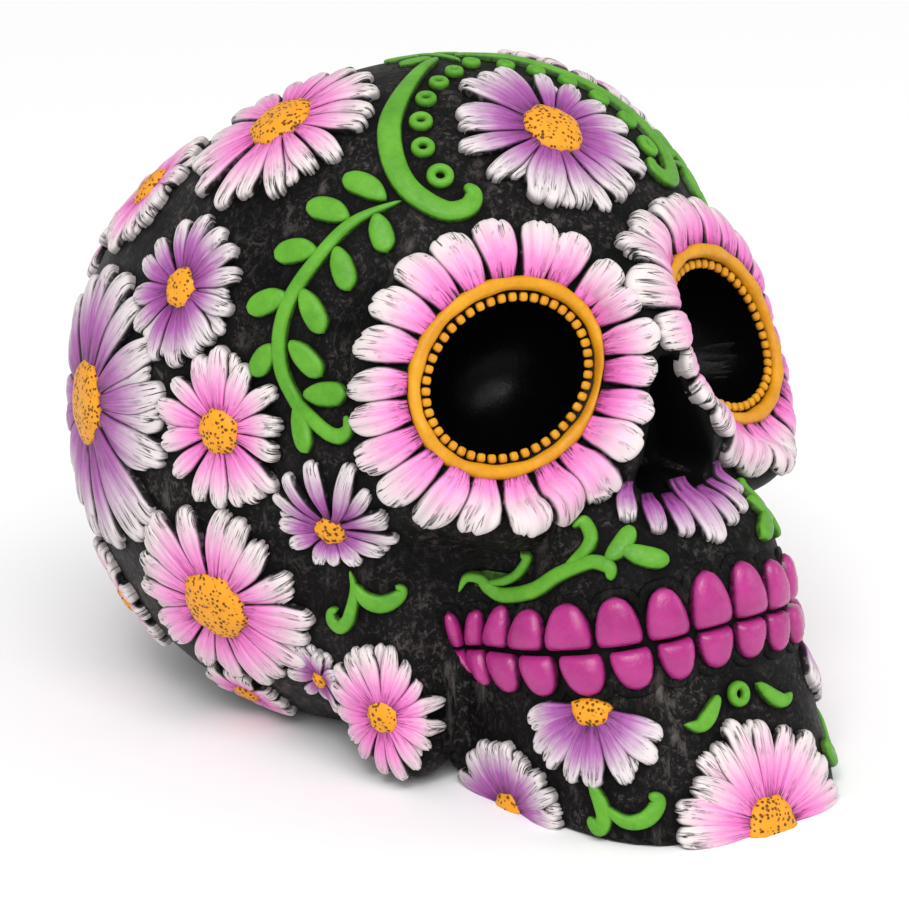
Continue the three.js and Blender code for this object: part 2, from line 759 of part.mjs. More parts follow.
const jawSprig = [[18.7, -34.5], [18.4, -32.4], [18.9, -31.4]];
const jawLeaves = [[[18.3, -33], [14, -31.6], 2.6]];
addPair('jaw_sprig', sprig(jawSprig, [2.4, 2.2, 1.4], 5, jawLeaves, seatClearance), 'green', 0.4);

addPair('chin_leaf', leaf([7.9, -25.4], [4, -24.3], 3, seatClearance), 'green', 0.4);
addOne('chin_dot', daisy(0, -24.2, 2.4, 1.1, 8, 0, 360), 'green', 0.4);

// The origin lies under the middle of the skull, on the plane that it stands on.
const extent = new THREE.Box3().setFromObject(skull);
skull.position.y = -(extent.min.y + extent.max.y) / 2;

export default skull;
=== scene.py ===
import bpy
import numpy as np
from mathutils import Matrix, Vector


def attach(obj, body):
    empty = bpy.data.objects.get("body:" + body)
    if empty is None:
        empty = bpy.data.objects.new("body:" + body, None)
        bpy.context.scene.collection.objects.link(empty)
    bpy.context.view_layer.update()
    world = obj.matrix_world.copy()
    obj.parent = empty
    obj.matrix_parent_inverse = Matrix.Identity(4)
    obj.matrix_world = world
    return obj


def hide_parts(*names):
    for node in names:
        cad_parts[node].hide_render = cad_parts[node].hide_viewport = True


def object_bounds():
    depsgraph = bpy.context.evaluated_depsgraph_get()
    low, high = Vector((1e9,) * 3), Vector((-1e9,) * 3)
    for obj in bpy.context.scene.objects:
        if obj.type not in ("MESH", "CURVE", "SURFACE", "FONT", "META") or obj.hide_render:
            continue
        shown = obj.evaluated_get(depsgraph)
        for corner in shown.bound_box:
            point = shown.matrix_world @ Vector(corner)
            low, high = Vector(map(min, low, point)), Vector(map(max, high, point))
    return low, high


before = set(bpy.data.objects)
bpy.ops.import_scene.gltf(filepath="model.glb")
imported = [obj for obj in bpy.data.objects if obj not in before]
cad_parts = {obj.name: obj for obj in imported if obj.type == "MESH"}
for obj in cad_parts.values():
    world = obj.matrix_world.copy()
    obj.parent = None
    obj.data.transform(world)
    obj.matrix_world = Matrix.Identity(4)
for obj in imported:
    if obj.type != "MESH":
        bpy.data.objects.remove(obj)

# A sugar skull: a dark cast skull with raised daisies, leaves, scrolls, eye rings and teeth.
# Shapes are worked out in millimetres, the face towards -Y and the base at z = 0, then moved
# towards the face by faceShift and made metres. Places on the skull are two angles seen from a
# point inside it: the turn from the front of the face towards +X, and the rise.

cadLow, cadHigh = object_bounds()
faceShift = np.array([0, 14.691, 0])
reliefSunk = -0.9  # how far petals, discs, strips, teeth and gums reach under the skin
print("frame loaded:", len(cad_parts), "nodes")


# the skull as a field: below zero inside, close to a distance outside

skullShape = {
    "caseCentre": (0, 30, 54),
    "caseHalfWidth": 63.5,
    "caseReachBack": 72.5,
    "caseReachFront": 73.5,
    "caseReachTop": 62,
    "caseReachBottom": 60,
    "caseSquareness": 2.35,
    "caseWidestY": 45,
    "caseNarrowing": 149,
    "foreheadCentre": (0, 17, 84),
    "foreheadRadii": (46, 38, 39),
    "foreheadBlend": 20,
    "browCentre": (0, -14, 69.5),
    "browRadii": (37.5, 27.5, 26.5),
    "browBlend": 16,
    "cheekFront": (27.5, -33, 58),
    "cheekBack": (44, -6, 61),
    "cheekFrontRadius": 10.5,
    "cheekBackRadius": 10,
    "cheekBlend": 7,
    "upperJawCentre": (0, -33.5, 35),
    "upperJawRadii": (26, 28, 23),
    "upperJawSquareness": 2.4,
    "chinCentre": (0, -29, 8),
    "chinRadii": (29.5, 34.5, 34),
    "chinSquareness": 3,
    "chinLean": 0.39,
    "chinLeanFrom": 24,
    "chinBlend": 8,
    "branchCentre": (35.5, -4, 34),
    "branchRadii": (10, 14, 33),
    "branchSquareness": 2.6,
    "branchLean": 0.34,
    "palateCentre": (0, -4, 28),
    "palateRadii": (32, 22, 30),
    "jawBlend": 4.4,
    "viewPoint": (0, 20, 60),
}

eyeShape = {
    "centre": (25.2, -30.5, 77.2),
    "axis": (0.27, -0.905, 0.33),
    "padRadii": (23.5, 21, 8),
    "padSquareness": 2.6,
    "padBlend": 6,
    "dishRadii": (24.4, 21.4, 9),
    "dishSquareness": 3.6,
    "dishRise": 7.9,
    "dishBlend": 2,
    "tilt": -30,
    "opening": (18.4, 15.3),
    "openingDepth": 22,
    "bowlRadii": (15.9, 12.8, 17.4),
    "bowlRise": -1.2,
    "bowlWall": 0.5,
}

noseShape = {
    "centre": (0, -46, 68),
    "tilt": 17,
    "top": (0.7, 10.2),
    "bottom": (4.1, -7.8),
    "topRadius": 1.9,
    "bottomRadius": 4.5,
    "openingDepth": 18,
    "openingGrow": 1.0,
    "ridgeTop": (2.6, -38.3, 80.5),
    "ridgeFoot": (9.0, -41.4, 63.5),
    "ridgeRadii": (3.2, 3.9),
    "bridgeTop": (0, -34.8, 91),
    "bridgeFoot": (0, -37.0, 82),
    "bridgeRadii": (3.8, 3.5),
    "ridgeBlend": 6,
}


# smooth minimum: the lower of two fields, rounded off where they differ by less than blend
def smoothMin(a, b, blend):
    mix = np.maximum(blend - np.abs(a - b), 0) / blend
    return np.minimum(a, b) - mix * mix * blend / 4


def smoothMax(a, b, blend):
    return -smoothMin(-a, -b, blend)


# a block with rounded corners: the sum of powers of x/a, y/b, z/c less one, over its slope
def roundedBlock(offset, radii, power):
    radii = np.array(radii, float)
    share = np.abs(offset) / radii + 1e-9
    level = np.sum(share ** power, axis=-1) ** (1 / power)
    slope = np.linalg.norm(share ** (power - 1) / radii, axis=-1) * level ** (1 - power)
    return (level - 1) / np.maximum(slope, 1e-9)


# an egg on its side: its width narrows with the square of the way ahead of the widest place
def braincase(p):
    s = skullShape
    x, y, z = np.moveaxis(p - np.array(s["caseCentre"]), -1, 0)
    ahead = np.maximum(s["caseWidestY"] - p[..., 1], 0) / s["caseNarrowing"]
    halfWidth = s["caseHalfWidth"] * (1 - np.minimum(ahead, 0.8) ** 2)
    reachY = np.where(y > 0, s["caseReachBack"], s["caseReachFront"])
    reachZ = np.where(z > 0, s["caseReachTop"], s["caseReachBottom"])
    n = s["caseSquareness"]
    section = (np.abs(x) / halfWidth + 1e-9) ** n + (np.abs(z) / reachZ + 1e-9) ** n
    level = np.sqrt(section ** (2 / n) + (y / reachY) ** 2)
    slope = np.sqrt((x / halfWidth ** 2) ** 2 + (y / reachY ** 2) ** 2 + (z / reachZ ** 2) ** 2)
    return level * (level - 1) / np.maximum(slope, 1e-9)


# a bar with round ends whose radius changes evenly from one end to the other
def taperedBar(p, start, end, startRadius, endRadius):
    start = np.array(start, float)
    bar = np.array(end, float) - start
    along = np.clip(((p - start) @ bar) / (bar @ bar), 0, 1)
    away = np.linalg.norm(p - start - along[..., None] * bar, axis=-1)
    return away - startRadius - along * (endRadius - startRadius)


def leaned(p, lean, height):
    q = np.array(p)
    q[..., 1] -= lean * (p[..., 2] - height)
    return q


viewPoint = np.array(skullShape["viewPoint"], float)
eyeCentre = np.array(eyeShape["centre"])
eyeOut = np.array(eyeShape["axis"]) / np.linalg.norm(eyeShape["axis"])
eyeSide = np.cross((0, 0, 1), eyeOut)
eyeSide = eyeSide / np.linalg.norm(eyeSide)
eyeUp = np.cross(eyeOut, eyeSide)
eyeTilt = np.radians(eyeShape["tilt"])
ovalLong = np.cos(eyeTilt) * eyeSide + np.sin(eyeTilt) * eyeUp  # the eye's oval leans, its outer end lower
ovalShort = np.cos(eyeTilt) * eyeUp - np.sin(eyeTilt) * eyeSide


def fromEye(p, rise, sideways, upwards):
    return (p - eyeCentre - rise * eyeOut) @ np.stack([sideways, upwards, eyeOut], -1)


# the skin that the relief lies on: egg, forehead, brow, cheekbones, jaws and eye pads melted together,
# less the dishes round the eyes, and then the bones of the nose
def skinField(p):
    s = skullShape
    e = eyeShape
    q = np.array(p, float)
    q[..., 0] = np.abs(q[..., 0])
    head = braincase(q)
    forehead = roundedBlock(q - np.array(s["foreheadCentre"]), s["foreheadRadii"], 2)
    head = smoothMin(head, forehead, s["foreheadBlend"])
    head = smoothMin(head, roundedBlock(q - np.array(s["browCentre"]), s["browRadii"], 2), s["browBlend"])
    cheek = taperedBar(q, s["cheekFront"], s["cheekBack"], s["cheekFrontRadius"], s["cheekBackRadius"])
    head = smoothMin(head, cheek, s["cheekBlend"])
    jaw = roundedBlock(q - np.array(s["upperJawCentre"]), s["upperJawRadii"], s["upperJawSquareness"])
    chin = leaned(q, s["chinLean"], s["chinLeanFrom"]) - np.array(s["chinCentre"])
    jaw = smoothMin(jaw, roundedBlock(chin, s["chinRadii"], s["chinSquareness"]), s["chinBlend"])
    branch = leaned(q, s["branchLean"], s["branchCentre"][2]) - np.array(s["branchCentre"])
    jaw = smoothMin(jaw, roundedBlock(branch, s["branchRadii"], s["branchSquareness"]), s["jawBlend"])
    palate = roundedBlock(q - np.array(s["palateCentre"]), s["palateRadii"], s["chinSquareness"])
    jaw = smoothMin(jaw, palate, s["jawBlend"])
    skin = smoothMin(head, jaw, s["jawBlend"])
    inPad = fromEye(q, -e["padRadii"][2], eyeSide, eyeUp)
    pad = roundedBlock(inPad, e["padRadii"], e["padSquareness"])
    skin = smoothMin(skin, pad, e["padBlend"])
    inDish = fromEye(q, e["dishRise"], ovalLong, ovalShort)
    dish = roundedBlock(inDish, e["dishRadii"], e["dishSquareness"])
    skin = smoothMax(skin, -dish, e["dishBlend"])
    n = noseShape
    ridge = taperedBar(q, n["ridgeTop"], n["ridgeFoot"], *n["ridgeRadii"])
    bridge = taperedBar(q, n["bridgeTop"], n["bridgeFoot"], *n["bridgeRadii"])
    skin = smoothMin(skin, ridge, n["ridgeBlend"])
    return smoothMin(skin, bridge, n["ridgeBlend"])


noseLean = np.radians(noseShape["tilt"])
noseUp = np.array([0, np.sin(noseLean), np.cos(noseLean)])
noseOut = np.array([0, -np.cos(noseLean), np.sin(noseLean)])


# the nose opening's outline in its own plane: a tapered bar on each side, which together make a heart
# that stands on its head
def noseOutline(x, height):
    n = noseShape
    flat = np.stack([np.abs(x), height], -1)
    return taperedBar(flat, n["top"], n["bottom"], n["topRadius"], n["bottomRadius"])


def fromNose(p):
    q = p - np.array(noseShape["centre"])
    return q[..., 0], q @ noseUp, q @ noseOut


def slopeAt(p):
    step = 0.1
    sides = [skinField(p + step * axis) - skinField(p - step * axis) for axis in np.eye(3)]
    return np.stack(sides, -1) / (2 * step)


def unit(v):
    return v / np.maximum(np.linalg.norm(v, axis=-1, keepdims=True), 1e-9)


# moves points to the nearest skin by Newton steps along the slope, and gives the way out there
def settle(p, steps=6):
    q = np.array(p, float)
    for _ in range(steps):
        slope = slopeAt(q)
        size = np.maximum(np.sum(slope * slope, -1), 0.05)
        q -= (skinField(q) / size)[..., None] * slope
    return q, unit(slopeAt(q))


# walks in from outside along rays from the view point, by most of the field each time, to the first skin
def castRays(directions, field):
    reach = np.full(len(directions), 150.0)
    moving = np.arange(len(directions))
    for _ in range(90):
        left = field(viewPoint + reach[moving, None] * directions[moving])
        reach[moving] = np.maximum(reach[moving] - 0.85 * left, 1)
        moving = moving[left > 0.01]
        if len(moving) == 0:
            break
    return viewPoint + reach[:, None] * directions


# walks along a direction to the skin, by most of the field each time, starting a given way along it
def walkToSkin(start, direction, away=0.0):
    reach = np.full(start.shape[:-1], away)
    for _ in range(60):
        reach = reach - 0.8 * skinField(start + reach[..., None] * direction)
    return start + reach[..., None] * direction


# the way from the view point to a plane along each ray
def reachPlane(directions, centre, out):
    return ((np.array(centre) - viewPoint) @ out) / (directions @ out)


def rayWays(turn, rise):
    return np.stack([np.sin(turn) * np.cos(rise), -np.cos(turn) * np.cos(rise), np.sin(rise)], -1)


# places on the skin from their turns and rises in degrees
def spots(places):
    turn, rise = np.radians(np.array(places, float)).T
    return castRays(rayWays(turn, rise), skinField)


def mirrorOf(side):
    return np.array([side, 1, 1])


# Catmull-Rom curve through rows of values, sampled evenly in its parameter
def smoothRows(rows, count):
    rows = np.array(rows, float)
    if rows.ndim == 1:
        rows = rows[:, None]
    ends = np.concatenate([2 * rows[:1] - rows[1:2], rows, 2 * rows[-1:] - rows[-2:-1]])
    u = np.linspace(0, len(rows) - 1, count)
    k = np.minimum(u.astype(int), len(rows) - 2)
    f = (u - k)[:, None]
    a, b, c, d = ends[k], ends[k + 1], ends[k + 2], ends[k + 3]
    square = (2 * a - 5 * b + 4 * c - d) * f ** 2
    cube = (3 * b - a - 3 * c + d) * f ** 3
    return 0.5 * (2 * b + (c - a) * f + square + cube)


def smoothStep(low, high, value):
    share = np.clip((value - low) / (high - low), 0, 1)
    return share * share * (3 - 2 * share)


# meshes

reliefPoints = []
boxMargin = 0.02
boxLow = np.array(cadLow) * 1000 + faceShift + boxMargin
boxHigh = np.array(cadHigh) * 1000 + faceShift - boxMargin


def buildPiece(name, points, quads, triangles, marks, material, slot, nodes):
    points = np.clip(points, boxLow, boxHigh)  # nothing passes the frame's box
    corners = np.concatenate([quads.ravel(), triangles.ravel()]).astype(np.int32)
    sizes = np.concatenate([np.full(len(quads), 4), np.full(len(triangles), 3)])
    starts = np.concatenate([[0], np.cumsum(sizes)[:-1]]).astype(np.int32)
    mesh = bpy.data.meshes.new(name)
    mesh.vertices.add(len(points))
    mesh.vertices.foreach_set("co", ((points - faceShift) / 1000).astype(np.float32).ravel())
    mesh.loops.add(len(corners))
    mesh.loops.foreach_set("vertex_index", corners)
    mesh.polygons.add(len(sizes))
    mesh.polygons.foreach_set("loop_start", starts)
    mesh.polygons.foreach_set("use_smooth", np.ones(len(sizes), dtype=bool))
    for key, values in marks.items():
        mark = mesh.attributes.new(key, "FLOAT", "POINT")
        mark.data.foreach_set("value", np.asarray(values, np.float32).ravel())
    mesh.update(calc_edges=True)
    mesh.validate()
    mesh.materials.append(material)
    piece = bpy.data.objects.new(name, mesh)
    bpy.context.collection.objects.link(piece)
    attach(piece, "root")
    if nodes:
        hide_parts(*nodes)


# closed patches from grids (patch, along, across): the grid on top, a skirt down to the low grid's
# edge, and a fan of triangles that closes it underneath
def cappedPatches(top, low):
    n, a, b, _ = top.shape
    index = np.arange(n * a * b).reshape(n, a, b)
    grid = np.stack([index[:, :-1, :-1], index[:, 1:, :-1], index[:, 1:, 1:], index[:, :-1, 1:]], -1)

    def edge(g):
        return np.concatenate([g[:, 0, :-1], g[:, :-1, -1], g[:, -1, :0:-1], g[:, :0:-1, 0]], axis=1)

    rim = edge(index)
    lowRim = edge(low)
    m = rim.shape[1]
    lowIndex = n * a * b + np.arange(n * m).reshape(n, m)
    skirt = np.stack([rim, np.roll(rim, -1, 1), np.roll(lowIndex, -1, 1), lowIndex], -1)
    middle = lowRim.mean(axis=1)
    middleIndex = np.broadcast_to((n * a * b + n * m + np.arange(n))[:, None], (n, m))
    fan = np.stack([lowIndex, np.roll(lowIndex, -1, 1), middleIndex], -1)
    points = np.concatenate([top.reshape(-1, 3), lowRim.reshape(-1, 3), middle])
    quads = np.concatenate([grid.reshape(-1, 4), skirt.reshape(-1, 4)])

    def spread(values):
        values = np.broadcast_to(values, (n, a, b))
        rimValues = edge(values)
        return np.concatenate([values.ravel(), rimValues.ravel(), rimValues.mean(axis=1)])

    return points, quads, fan.reshape(-1, 3), spread


# a closed ring from a grid (round, section) that joins up in both directions
def ringFaces(rounds, section):
    index = np.arange(rounds * section).reshape(rounds, section)
    ahead = np.roll(index, -1, 0)
    quads = np.stack([index, np.roll(index, -1, 1), np.roll(ahead, -1, 1), ahead], -1)
    return quads.reshape(-1, 4)


# a closed body from a stack of rings (ring, round) with a point that closes each end, turned so that
# its faces look out: the volumes from its middle to all its triangles add up to more than nothing
def ringStack(rings, firstEnd, lastEnd):
    count, rounds, _ = rings.shape
    index = np.arange(count * rounds).reshape(count, rounds)
    ahead = np.roll(index, -1, 1)
    quads = np.stack([index[:-1], ahead[:-1], ahead[1:], index[1:]], -1).reshape(-1, 4)
    end = count * rounds
    start = np.stack([np.full(rounds, end), ahead[0], index[0]], -1)
    finish = np.stack([np.full(rounds, end + 1), index[-1], ahead[-1]], -1)
    points = np.concatenate([rings.reshape(-1, 3), [firstEnd, lastEnd]])
    triangles = np.concatenate([start, finish])
    corners = np.concatenate([quads[:, [0, 1, 2]], quads[:, [0, 2, 3]], triangles])
    a, b, c = np.moveaxis(points[corners] - points.mean(axis=0), 1, 0)
    if np.sum(np.cross(a, b) * c) < 0:
        quads, triangles = quads[:, ::-1], triangles[:, ::-1]
    return points, quads, triangles


# several bodies as one: their points one after another, their faces counted on from there
def gather(bodies):
    starts = np.cumsum([0] + [len(body[0]) for body in bodies])
    points = np.concatenate([body[0] for body in bodies])
    quads = np.concatenate([body[1] + start for body, start in zip(bodies, starts)])
    triangles = np.concatenate([body[2] + start for body, start in zip(bodies, starts)])
    return points, quads, triangles


noTriangles = np.zeros((0, 3), int)


# materials

def newMaterial(name):
    material = bpy.data.materials.new(name)
    material.use_nodes = True
    tree = material.node_tree
    return material, tree, tree.nodes["Principled BSDF"]


def addNode(tree, kind, links=None, **settings):
    node = tree.nodes.new(kind)
    for key, value in settings.items():
        setattr(node, key, value)
    for key, value in (links or {}).items():
        socket = node.inputs[key]
        if isinstance(value, bpy.types.NodeSocket):
            tree.links.new(value, socket)
        else:
            socket.default_value = value
    return node


def objectNoise(tree, scale, detail, roughness=0.55, distortion=0.0, stretch=(1, 1, 1)):
    place = addNode(tree, "ShaderNodeTexCoord")
    mapping = addNode(tree, "ShaderNodeMapping", {"Vector": place.outputs["Object"], "Scale": stretch})
    noise = addNode(tree, "ShaderNodeTexNoise", {
        "Vector": mapping.outputs["Vector"],
        "Scale": scale,
        "Detail": detail,
        "Roughness": roughness,
        "Distortion": distortion,
    })
    return noise.outputs["Fac"]


def readMark(tree, name):
    return addNode(tree, "ShaderNodeAttribute", attribute_name=name).outputs["Fac"]


def rescale(tree, value, fromLow, fromHigh, toLow, toHigh):
    node = addNode(tree, "ShaderNodeMapRange", {
        "Value": value,
        "From Min": fromLow,
        "From Max": fromHigh,
        "To Min": toLow,
        "To Max": toHigh,
    })
    return node.outputs["Result"]


def maths(tree, operation, a, b, c=0.0, clamp=False):
    node = addNode(tree, "ShaderNodeMath", {0: a, 1: b, 2: c}, operation=operation, use_clamp=clamp)
    return node.outputs["Value"]


def mixColours(tree, factor, a, b, blend="MIX"):
    node = addNode(tree, "ShaderNodeMix", {0: factor, 6: a, 7: b}, data_type="RGBA", blend_type=blend)
    return node.outputs[2]


def colourRamp(tree, value, stops):
    node = addNode(tree, "ShaderNodeValToRGB", {"Fac": value})
    ramp = node.color_ramp
    while len(ramp.elements) < len(stops):
        ramp.elements.new(0.5)
    for element, (place, colour) in zip(ramp.elements, stops):
        element.position = place
        element.color = (*colour, 1)
    return node.outputs["Color"]


def addBump(tree, shader, height, strength, distance):
    bump = addNode(tree, "ShaderNodeBump", {"Height": height, "Strength": strength, "Distance": distance})
    tree.links.new(bump.outputs["Normal"], shader.inputs["Normal"])


castFinish = {
    "black": (0.0012, 0.0011, 0.0013),
    "charcoal": (0.0085, 0.0078, 0.0080),
    "scuff": (0.1100, 0.0950, 0.0880),
    # the blackest paint, for the glossy hollows and for the painted shade
    "hollow": (0.0012, 0.0012, 0.0014),
    "shine": 0.08,
    "broadScale": 55,
    "fineScale": 380,
    "strokeScale": 260,
    "grainScale": 1000,
    "speckScale": 1500,
    "bump": (0.45, 0.0007),
}


# satin charcoal paint with dry brown-grey scuffs, glossy in the hollows, and blackened with painted shade
# where it meets the relief, in the nose hollow and on the gums
def castMaterial():
    f = castFinish
    material, tree, shader = newMaterial("cast_charcoal")
    shader.inputs["Specular IOR Level"].default_value = f["shine"]
    broad = objectNoise(tree, f["broadScale"], 5, 0.6)
    fine = objectNoise(tree, f["fineScale"], 7, 0.72, 0.8)
    strokes = objectNoise(tree, f["strokeScale"], 6, 0.7, 0.4, (1, 1, 0.25))
    grain = objectNoise(tree, f["grainScale"], 6, 0.7, 0.5)
    speck = objectNoise(tree, f["speckScale"], 3)
    hollow = readMark(tree, "hollow")
    # a mark that says where shade is painted in: next to the relief, in the nose hollow and on the gums
    paintedShade = readMark(tree, "paintedShade")
    tone = rescale(tree, broad, 0.35, 0.65, 0, 1)
    paint = mixColours(tree, tone, (*f["black"], 1), (*f["charcoal"], 1))
    dabs = rescale(tree, grain, 0.53, 0.68, 0, 0.8)
    dabs = maths(tree, "MAXIMUM", dabs, rescale(tree, fine, 0.55, 0.70, 0, 1))
    scuff = maths(tree, "MAXIMUM", dabs, rescale(tree, strokes, 0.56, 0.70, 0, 1))
    scuff = maths(tree, "MULTIPLY", scuff, rescale(tree, broad, 0.36, 0.58, 0.16, 1.0))
    # painted shade: scuffs fade and the paint goes nearly black and rougher where the relief meets the skin
    scuff = maths(tree, "MULTIPLY", scuff, rescale(tree, paintedShade, 0.40, 0.95, 1, 0.1), clamp=True)
    paint = mixColours(tree, scuff, paint, (*f["scuff"], 1))
    paint = mixColours(tree, rescale(tree, paintedShade, 0.35, 1.0, 0, 0.95), paint, (*f["hollow"], 1))
    paint = mixColours(tree, hollow, paint, (*f["hollow"], 1))
    tree.links.new(paint, shader.inputs["Base Color"])
    rough = rescale(tree, fine, 0.3, 0.7, 0.34, 0.56)
    rough = maths(tree, "ADD", rough, rescale(tree, speck, 0.3, 0.7, -0.04, 0.06))
    rough = maths(tree, "ADD", rough, rescale(tree, paintedShade, 0.2, 1.0, 0.0, 0.2))
    rough = maths(tree, "MULTIPLY", rough, rescale(tree, hollow, 0, 1, 1, 0.62))
    tree.links.new(rough, shader.inputs["Roughness"])
    height = maths(tree, "ADD", maths(tree, "MULTIPLY", fine, 0.8), maths(tree, "MULTIPLY", speck, 0.2))
    height = maths(tree, "ADD", height, maths(tree, "MULTIPLY", strokes, 0.6))
    height = maths(tree, "MULTIPLY", height, rescale(tree, hollow, 0, 1, 1, 0.25))
    addBump(tree, shader, height, *f["bump"])
    return material


petalFinish = {
    "pink": [
        (0.0, (0.47, 0.060, 0.28)),
        (0.14, (0.76, 0.15, 0.49)),
        (0.40, (0.83, 0.29, 0.60)),
        (0.68, (0.80, 0.53, 0.65)),
        (0.90, (0.75, 0.68, 0.67)),
    ],
    "purple": [
        (0.0, (0.145, 0.019, 0.135)),
        (0.14, (0.28, 0.045, 0.26)),
        (0.40, (0.40, 0.115, 0.38)),
        (0.64, (0.57, 0.39, 0.53)),
        (0.84, (0.72, 0.65, 0.66)),
    ],
    "wash": (0.010, 0.007, 0.009),
    "mottleScale": 600,
    "rough": (0.40, 0.58),
    "shine": 0.35,
    "bump": (0.4, 0.0006),
}


# petals shade from a strong colour at the foot to off-white at the tip, brushed along their length,
# with a dark wash in the grooves, at the edges and in thin broken lines
def petalMaterial(name, stops):
    f = petalFinish
    material, tree, shader = newMaterial(name)
    along = readMark(tree, "along")
    across = readMark(tree, "across")
    tone = readMark(tree, "tone")
    wash = readMark(tree, "wash")

    def strands(acrossScale, alongScale, shift):
        strand = addNode(tree, "ShaderNodeCombineXYZ", {
            "X": maths(tree, "MULTIPLY_ADD", across, acrossScale, maths(tree, "MULTIPLY", tone, 53.0)),
            "Y": maths(tree, "MULTIPLY", along, alongScale),
            "Z": maths(tree, "MULTIPLY", tone, shift),
        })
        noise = addNode(tree, "ShaderNodeTexNoise", {
            "Vector": strand.outputs["Vector"],
            "Scale": 1.0,
            "Detail": 3.0,
            "Roughness": 0.6,
        })
        return noise.outputs["Fac"]

    brush = strands(5.0, 1.1, 17.0)
    scratch = strands(3.0, 0.8, 91.0)
    broken = strands(2.0, 4.5, 37.0)
    mottle = objectNoise(tree, f["mottleScale"], 4, 0.6)
    shade = maths(tree, "ADD", along, rescale(tree, brush, 0.3, 0.7, -0.10, 0.10))
    shade = maths(tree, "ADD", shade, rescale(tree, mottle, 0.3, 0.7, -0.03, 0.03))
    shade = maths(tree, "ADD", shade, rescale(tree, tone, 0, 1, -0.09, 0.07))
    paint = colourRamp(tree, shade, stops)
    line = maths(tree, "ABSOLUTE", maths(tree, "SUBTRACT", scratch, 0.5), 0.0)
    line = rescale(tree, line, 0.014, 0.036, 1, 0)
    line = maths(tree, "MULTIPLY", line, rescale(tree, broken, 0.43, 0.53, 0, 1))
    ends = rescale(tree, along, 0.55, 0.90, 0.15, 1.0)
    ends = maths(tree, "ADD", ends, rescale(tree, along, 0.02, 0.42, 0.9, 0.0))
    line = maths(tree, "MULTIPLY", line, ends, clamp=True)
    foot = rescale(tree, brush, 0.46, 0.38, 0, 1)
    foot = maths(tree, "MULTIPLY", foot, rescale(tree, along, 0.0, 0.22, 0.8, 0.0))
    dark = maths(tree, "MULTIPLY", wash, rescale(tree, mottle, 0.30, 0.52, 0.75, 1.05))
    dark = maths(tree, "MAXIMUM", dark, line)
    dark = maths(tree, "ADD", dark, foot, clamp=True)
    paint = mixColours(tree, dark, paint, (*f["wash"], 1))
    tree.links.new(paint, shader.inputs["Base Color"])
    tree.links.new(rescale(tree, mottle, 0.3, 0.7, *f["rough"]), shader.inputs["Roughness"])
    shader.inputs["Specular IOR Level"].default_value = f["shine"]
    height = maths(tree, "MULTIPLY", brush, 0.45)
    height = maths(tree, "SUBTRACT", height, maths(tree, "MULTIPLY", dark, 0.6))
    addBump(tree, shader, height, *f["bump"])
    return material


discFinish = {
    "yolk": (0.87, 0.37, 0.014),
    "amber": (0.74, 0.28, 0.012),
    "pit": (0.075, 0.022, 0.006),
    "pitScale": 1200,
    "pitBend": 0.0006,
    "pitSizes": (0.17, 0.38),
    "swirlScale": 700.0,
    "mottleScale": 380,
    "rough": (0.42, 0.58),
    "shine": 0.3,
    "bump": (0.7, 0.0005),
}


# flower discs: orange paint broken by many small dark pits
def discMaterial():
    f = discFinish
    material, tree, shader = newMaterial("pitted_orange")
    place = addNode(tree, "ShaderNodeTexCoord").outputs["Object"]
    swirl = addNode(tree, "ShaderNodeTexNoise", {"Vector": place, "Scale": f["swirlScale"], "Detail": 2.0})
    bend = {0: f["pitBend"], 4: place, 5: swirl.outputs["Color"]}
    bent = addNode(tree, "ShaderNodeMix", bend, data_type="VECTOR")
    cells = addNode(tree, "ShaderNodeTexVoronoi", {"Vector": bent.outputs[1], "Scale": f["pitScale"]})
    mottle = objectNoise(tree, f["mottleScale"], 3)
    rim = readMark(tree, "wash")
    size = rescale(tree, mottle, 0.3, 0.7, *f["pitSizes"])
    pit = rescale(tree, maths(tree, "SUBTRACT", cells.outputs["Distance"], size), -0.05, 0.12, 1, 0)
    paint = mixColours(tree, mottle, (*f["yolk"], 1), (*f["amber"], 1))
    dark = maths(tree, "ADD", maths(tree, "MULTIPLY", pit, 0.92), rim, clamp=True)
    paint = mixColours(tree, dark, paint, (*f["pit"], 1))
    tree.links.new(paint, shader.inputs["Base Color"])
    tree.links.new(rescale(tree, mottle, 0.3, 0.7, *f["rough"]), shader.inputs["Roughness"])
    shader.inputs["Specular IOR Level"].default_value = f["shine"]
    addBump(tree, shader, maths(tree, "SUBTRACT", 1.0, pit), *f["bump"])
    return material


plainFinishes = {
    "rim": {
        "name": "brushed_orange",
        "light": (0.74, 0.34, 0.009),
        "deep": (0.58, 0.235, 0.007),
        "wash": (0.030, 0.012, 0.006),
        "rough": (0.30, 0.46),
        "shine": 0.3,
    },
    "leaf": {
        "name": "leaf_green",
        "light": (0.128, 0.395, 0.027),
        "deep": (0.076, 0.275, 0.015),
        "wash": (0.012, 0.018, 0.008),
        "rough": (0.34, 0.50),
        "shine": 0.3,
    },
    "tooth": {
        "name": "glossy_magenta",
        "light": (0.455, 0.030, 0.232),
        "deep": (0.345, 0.018, 0.168),
        "wash": (0.018, 0.006, 0.012),
        "rough": (0.16, 0.30),
        "shine": 0.5,
    },
}


plainBrush = {"broadScale": 160, "fineScale": 900, "bump": (0.28, 0.0005)}


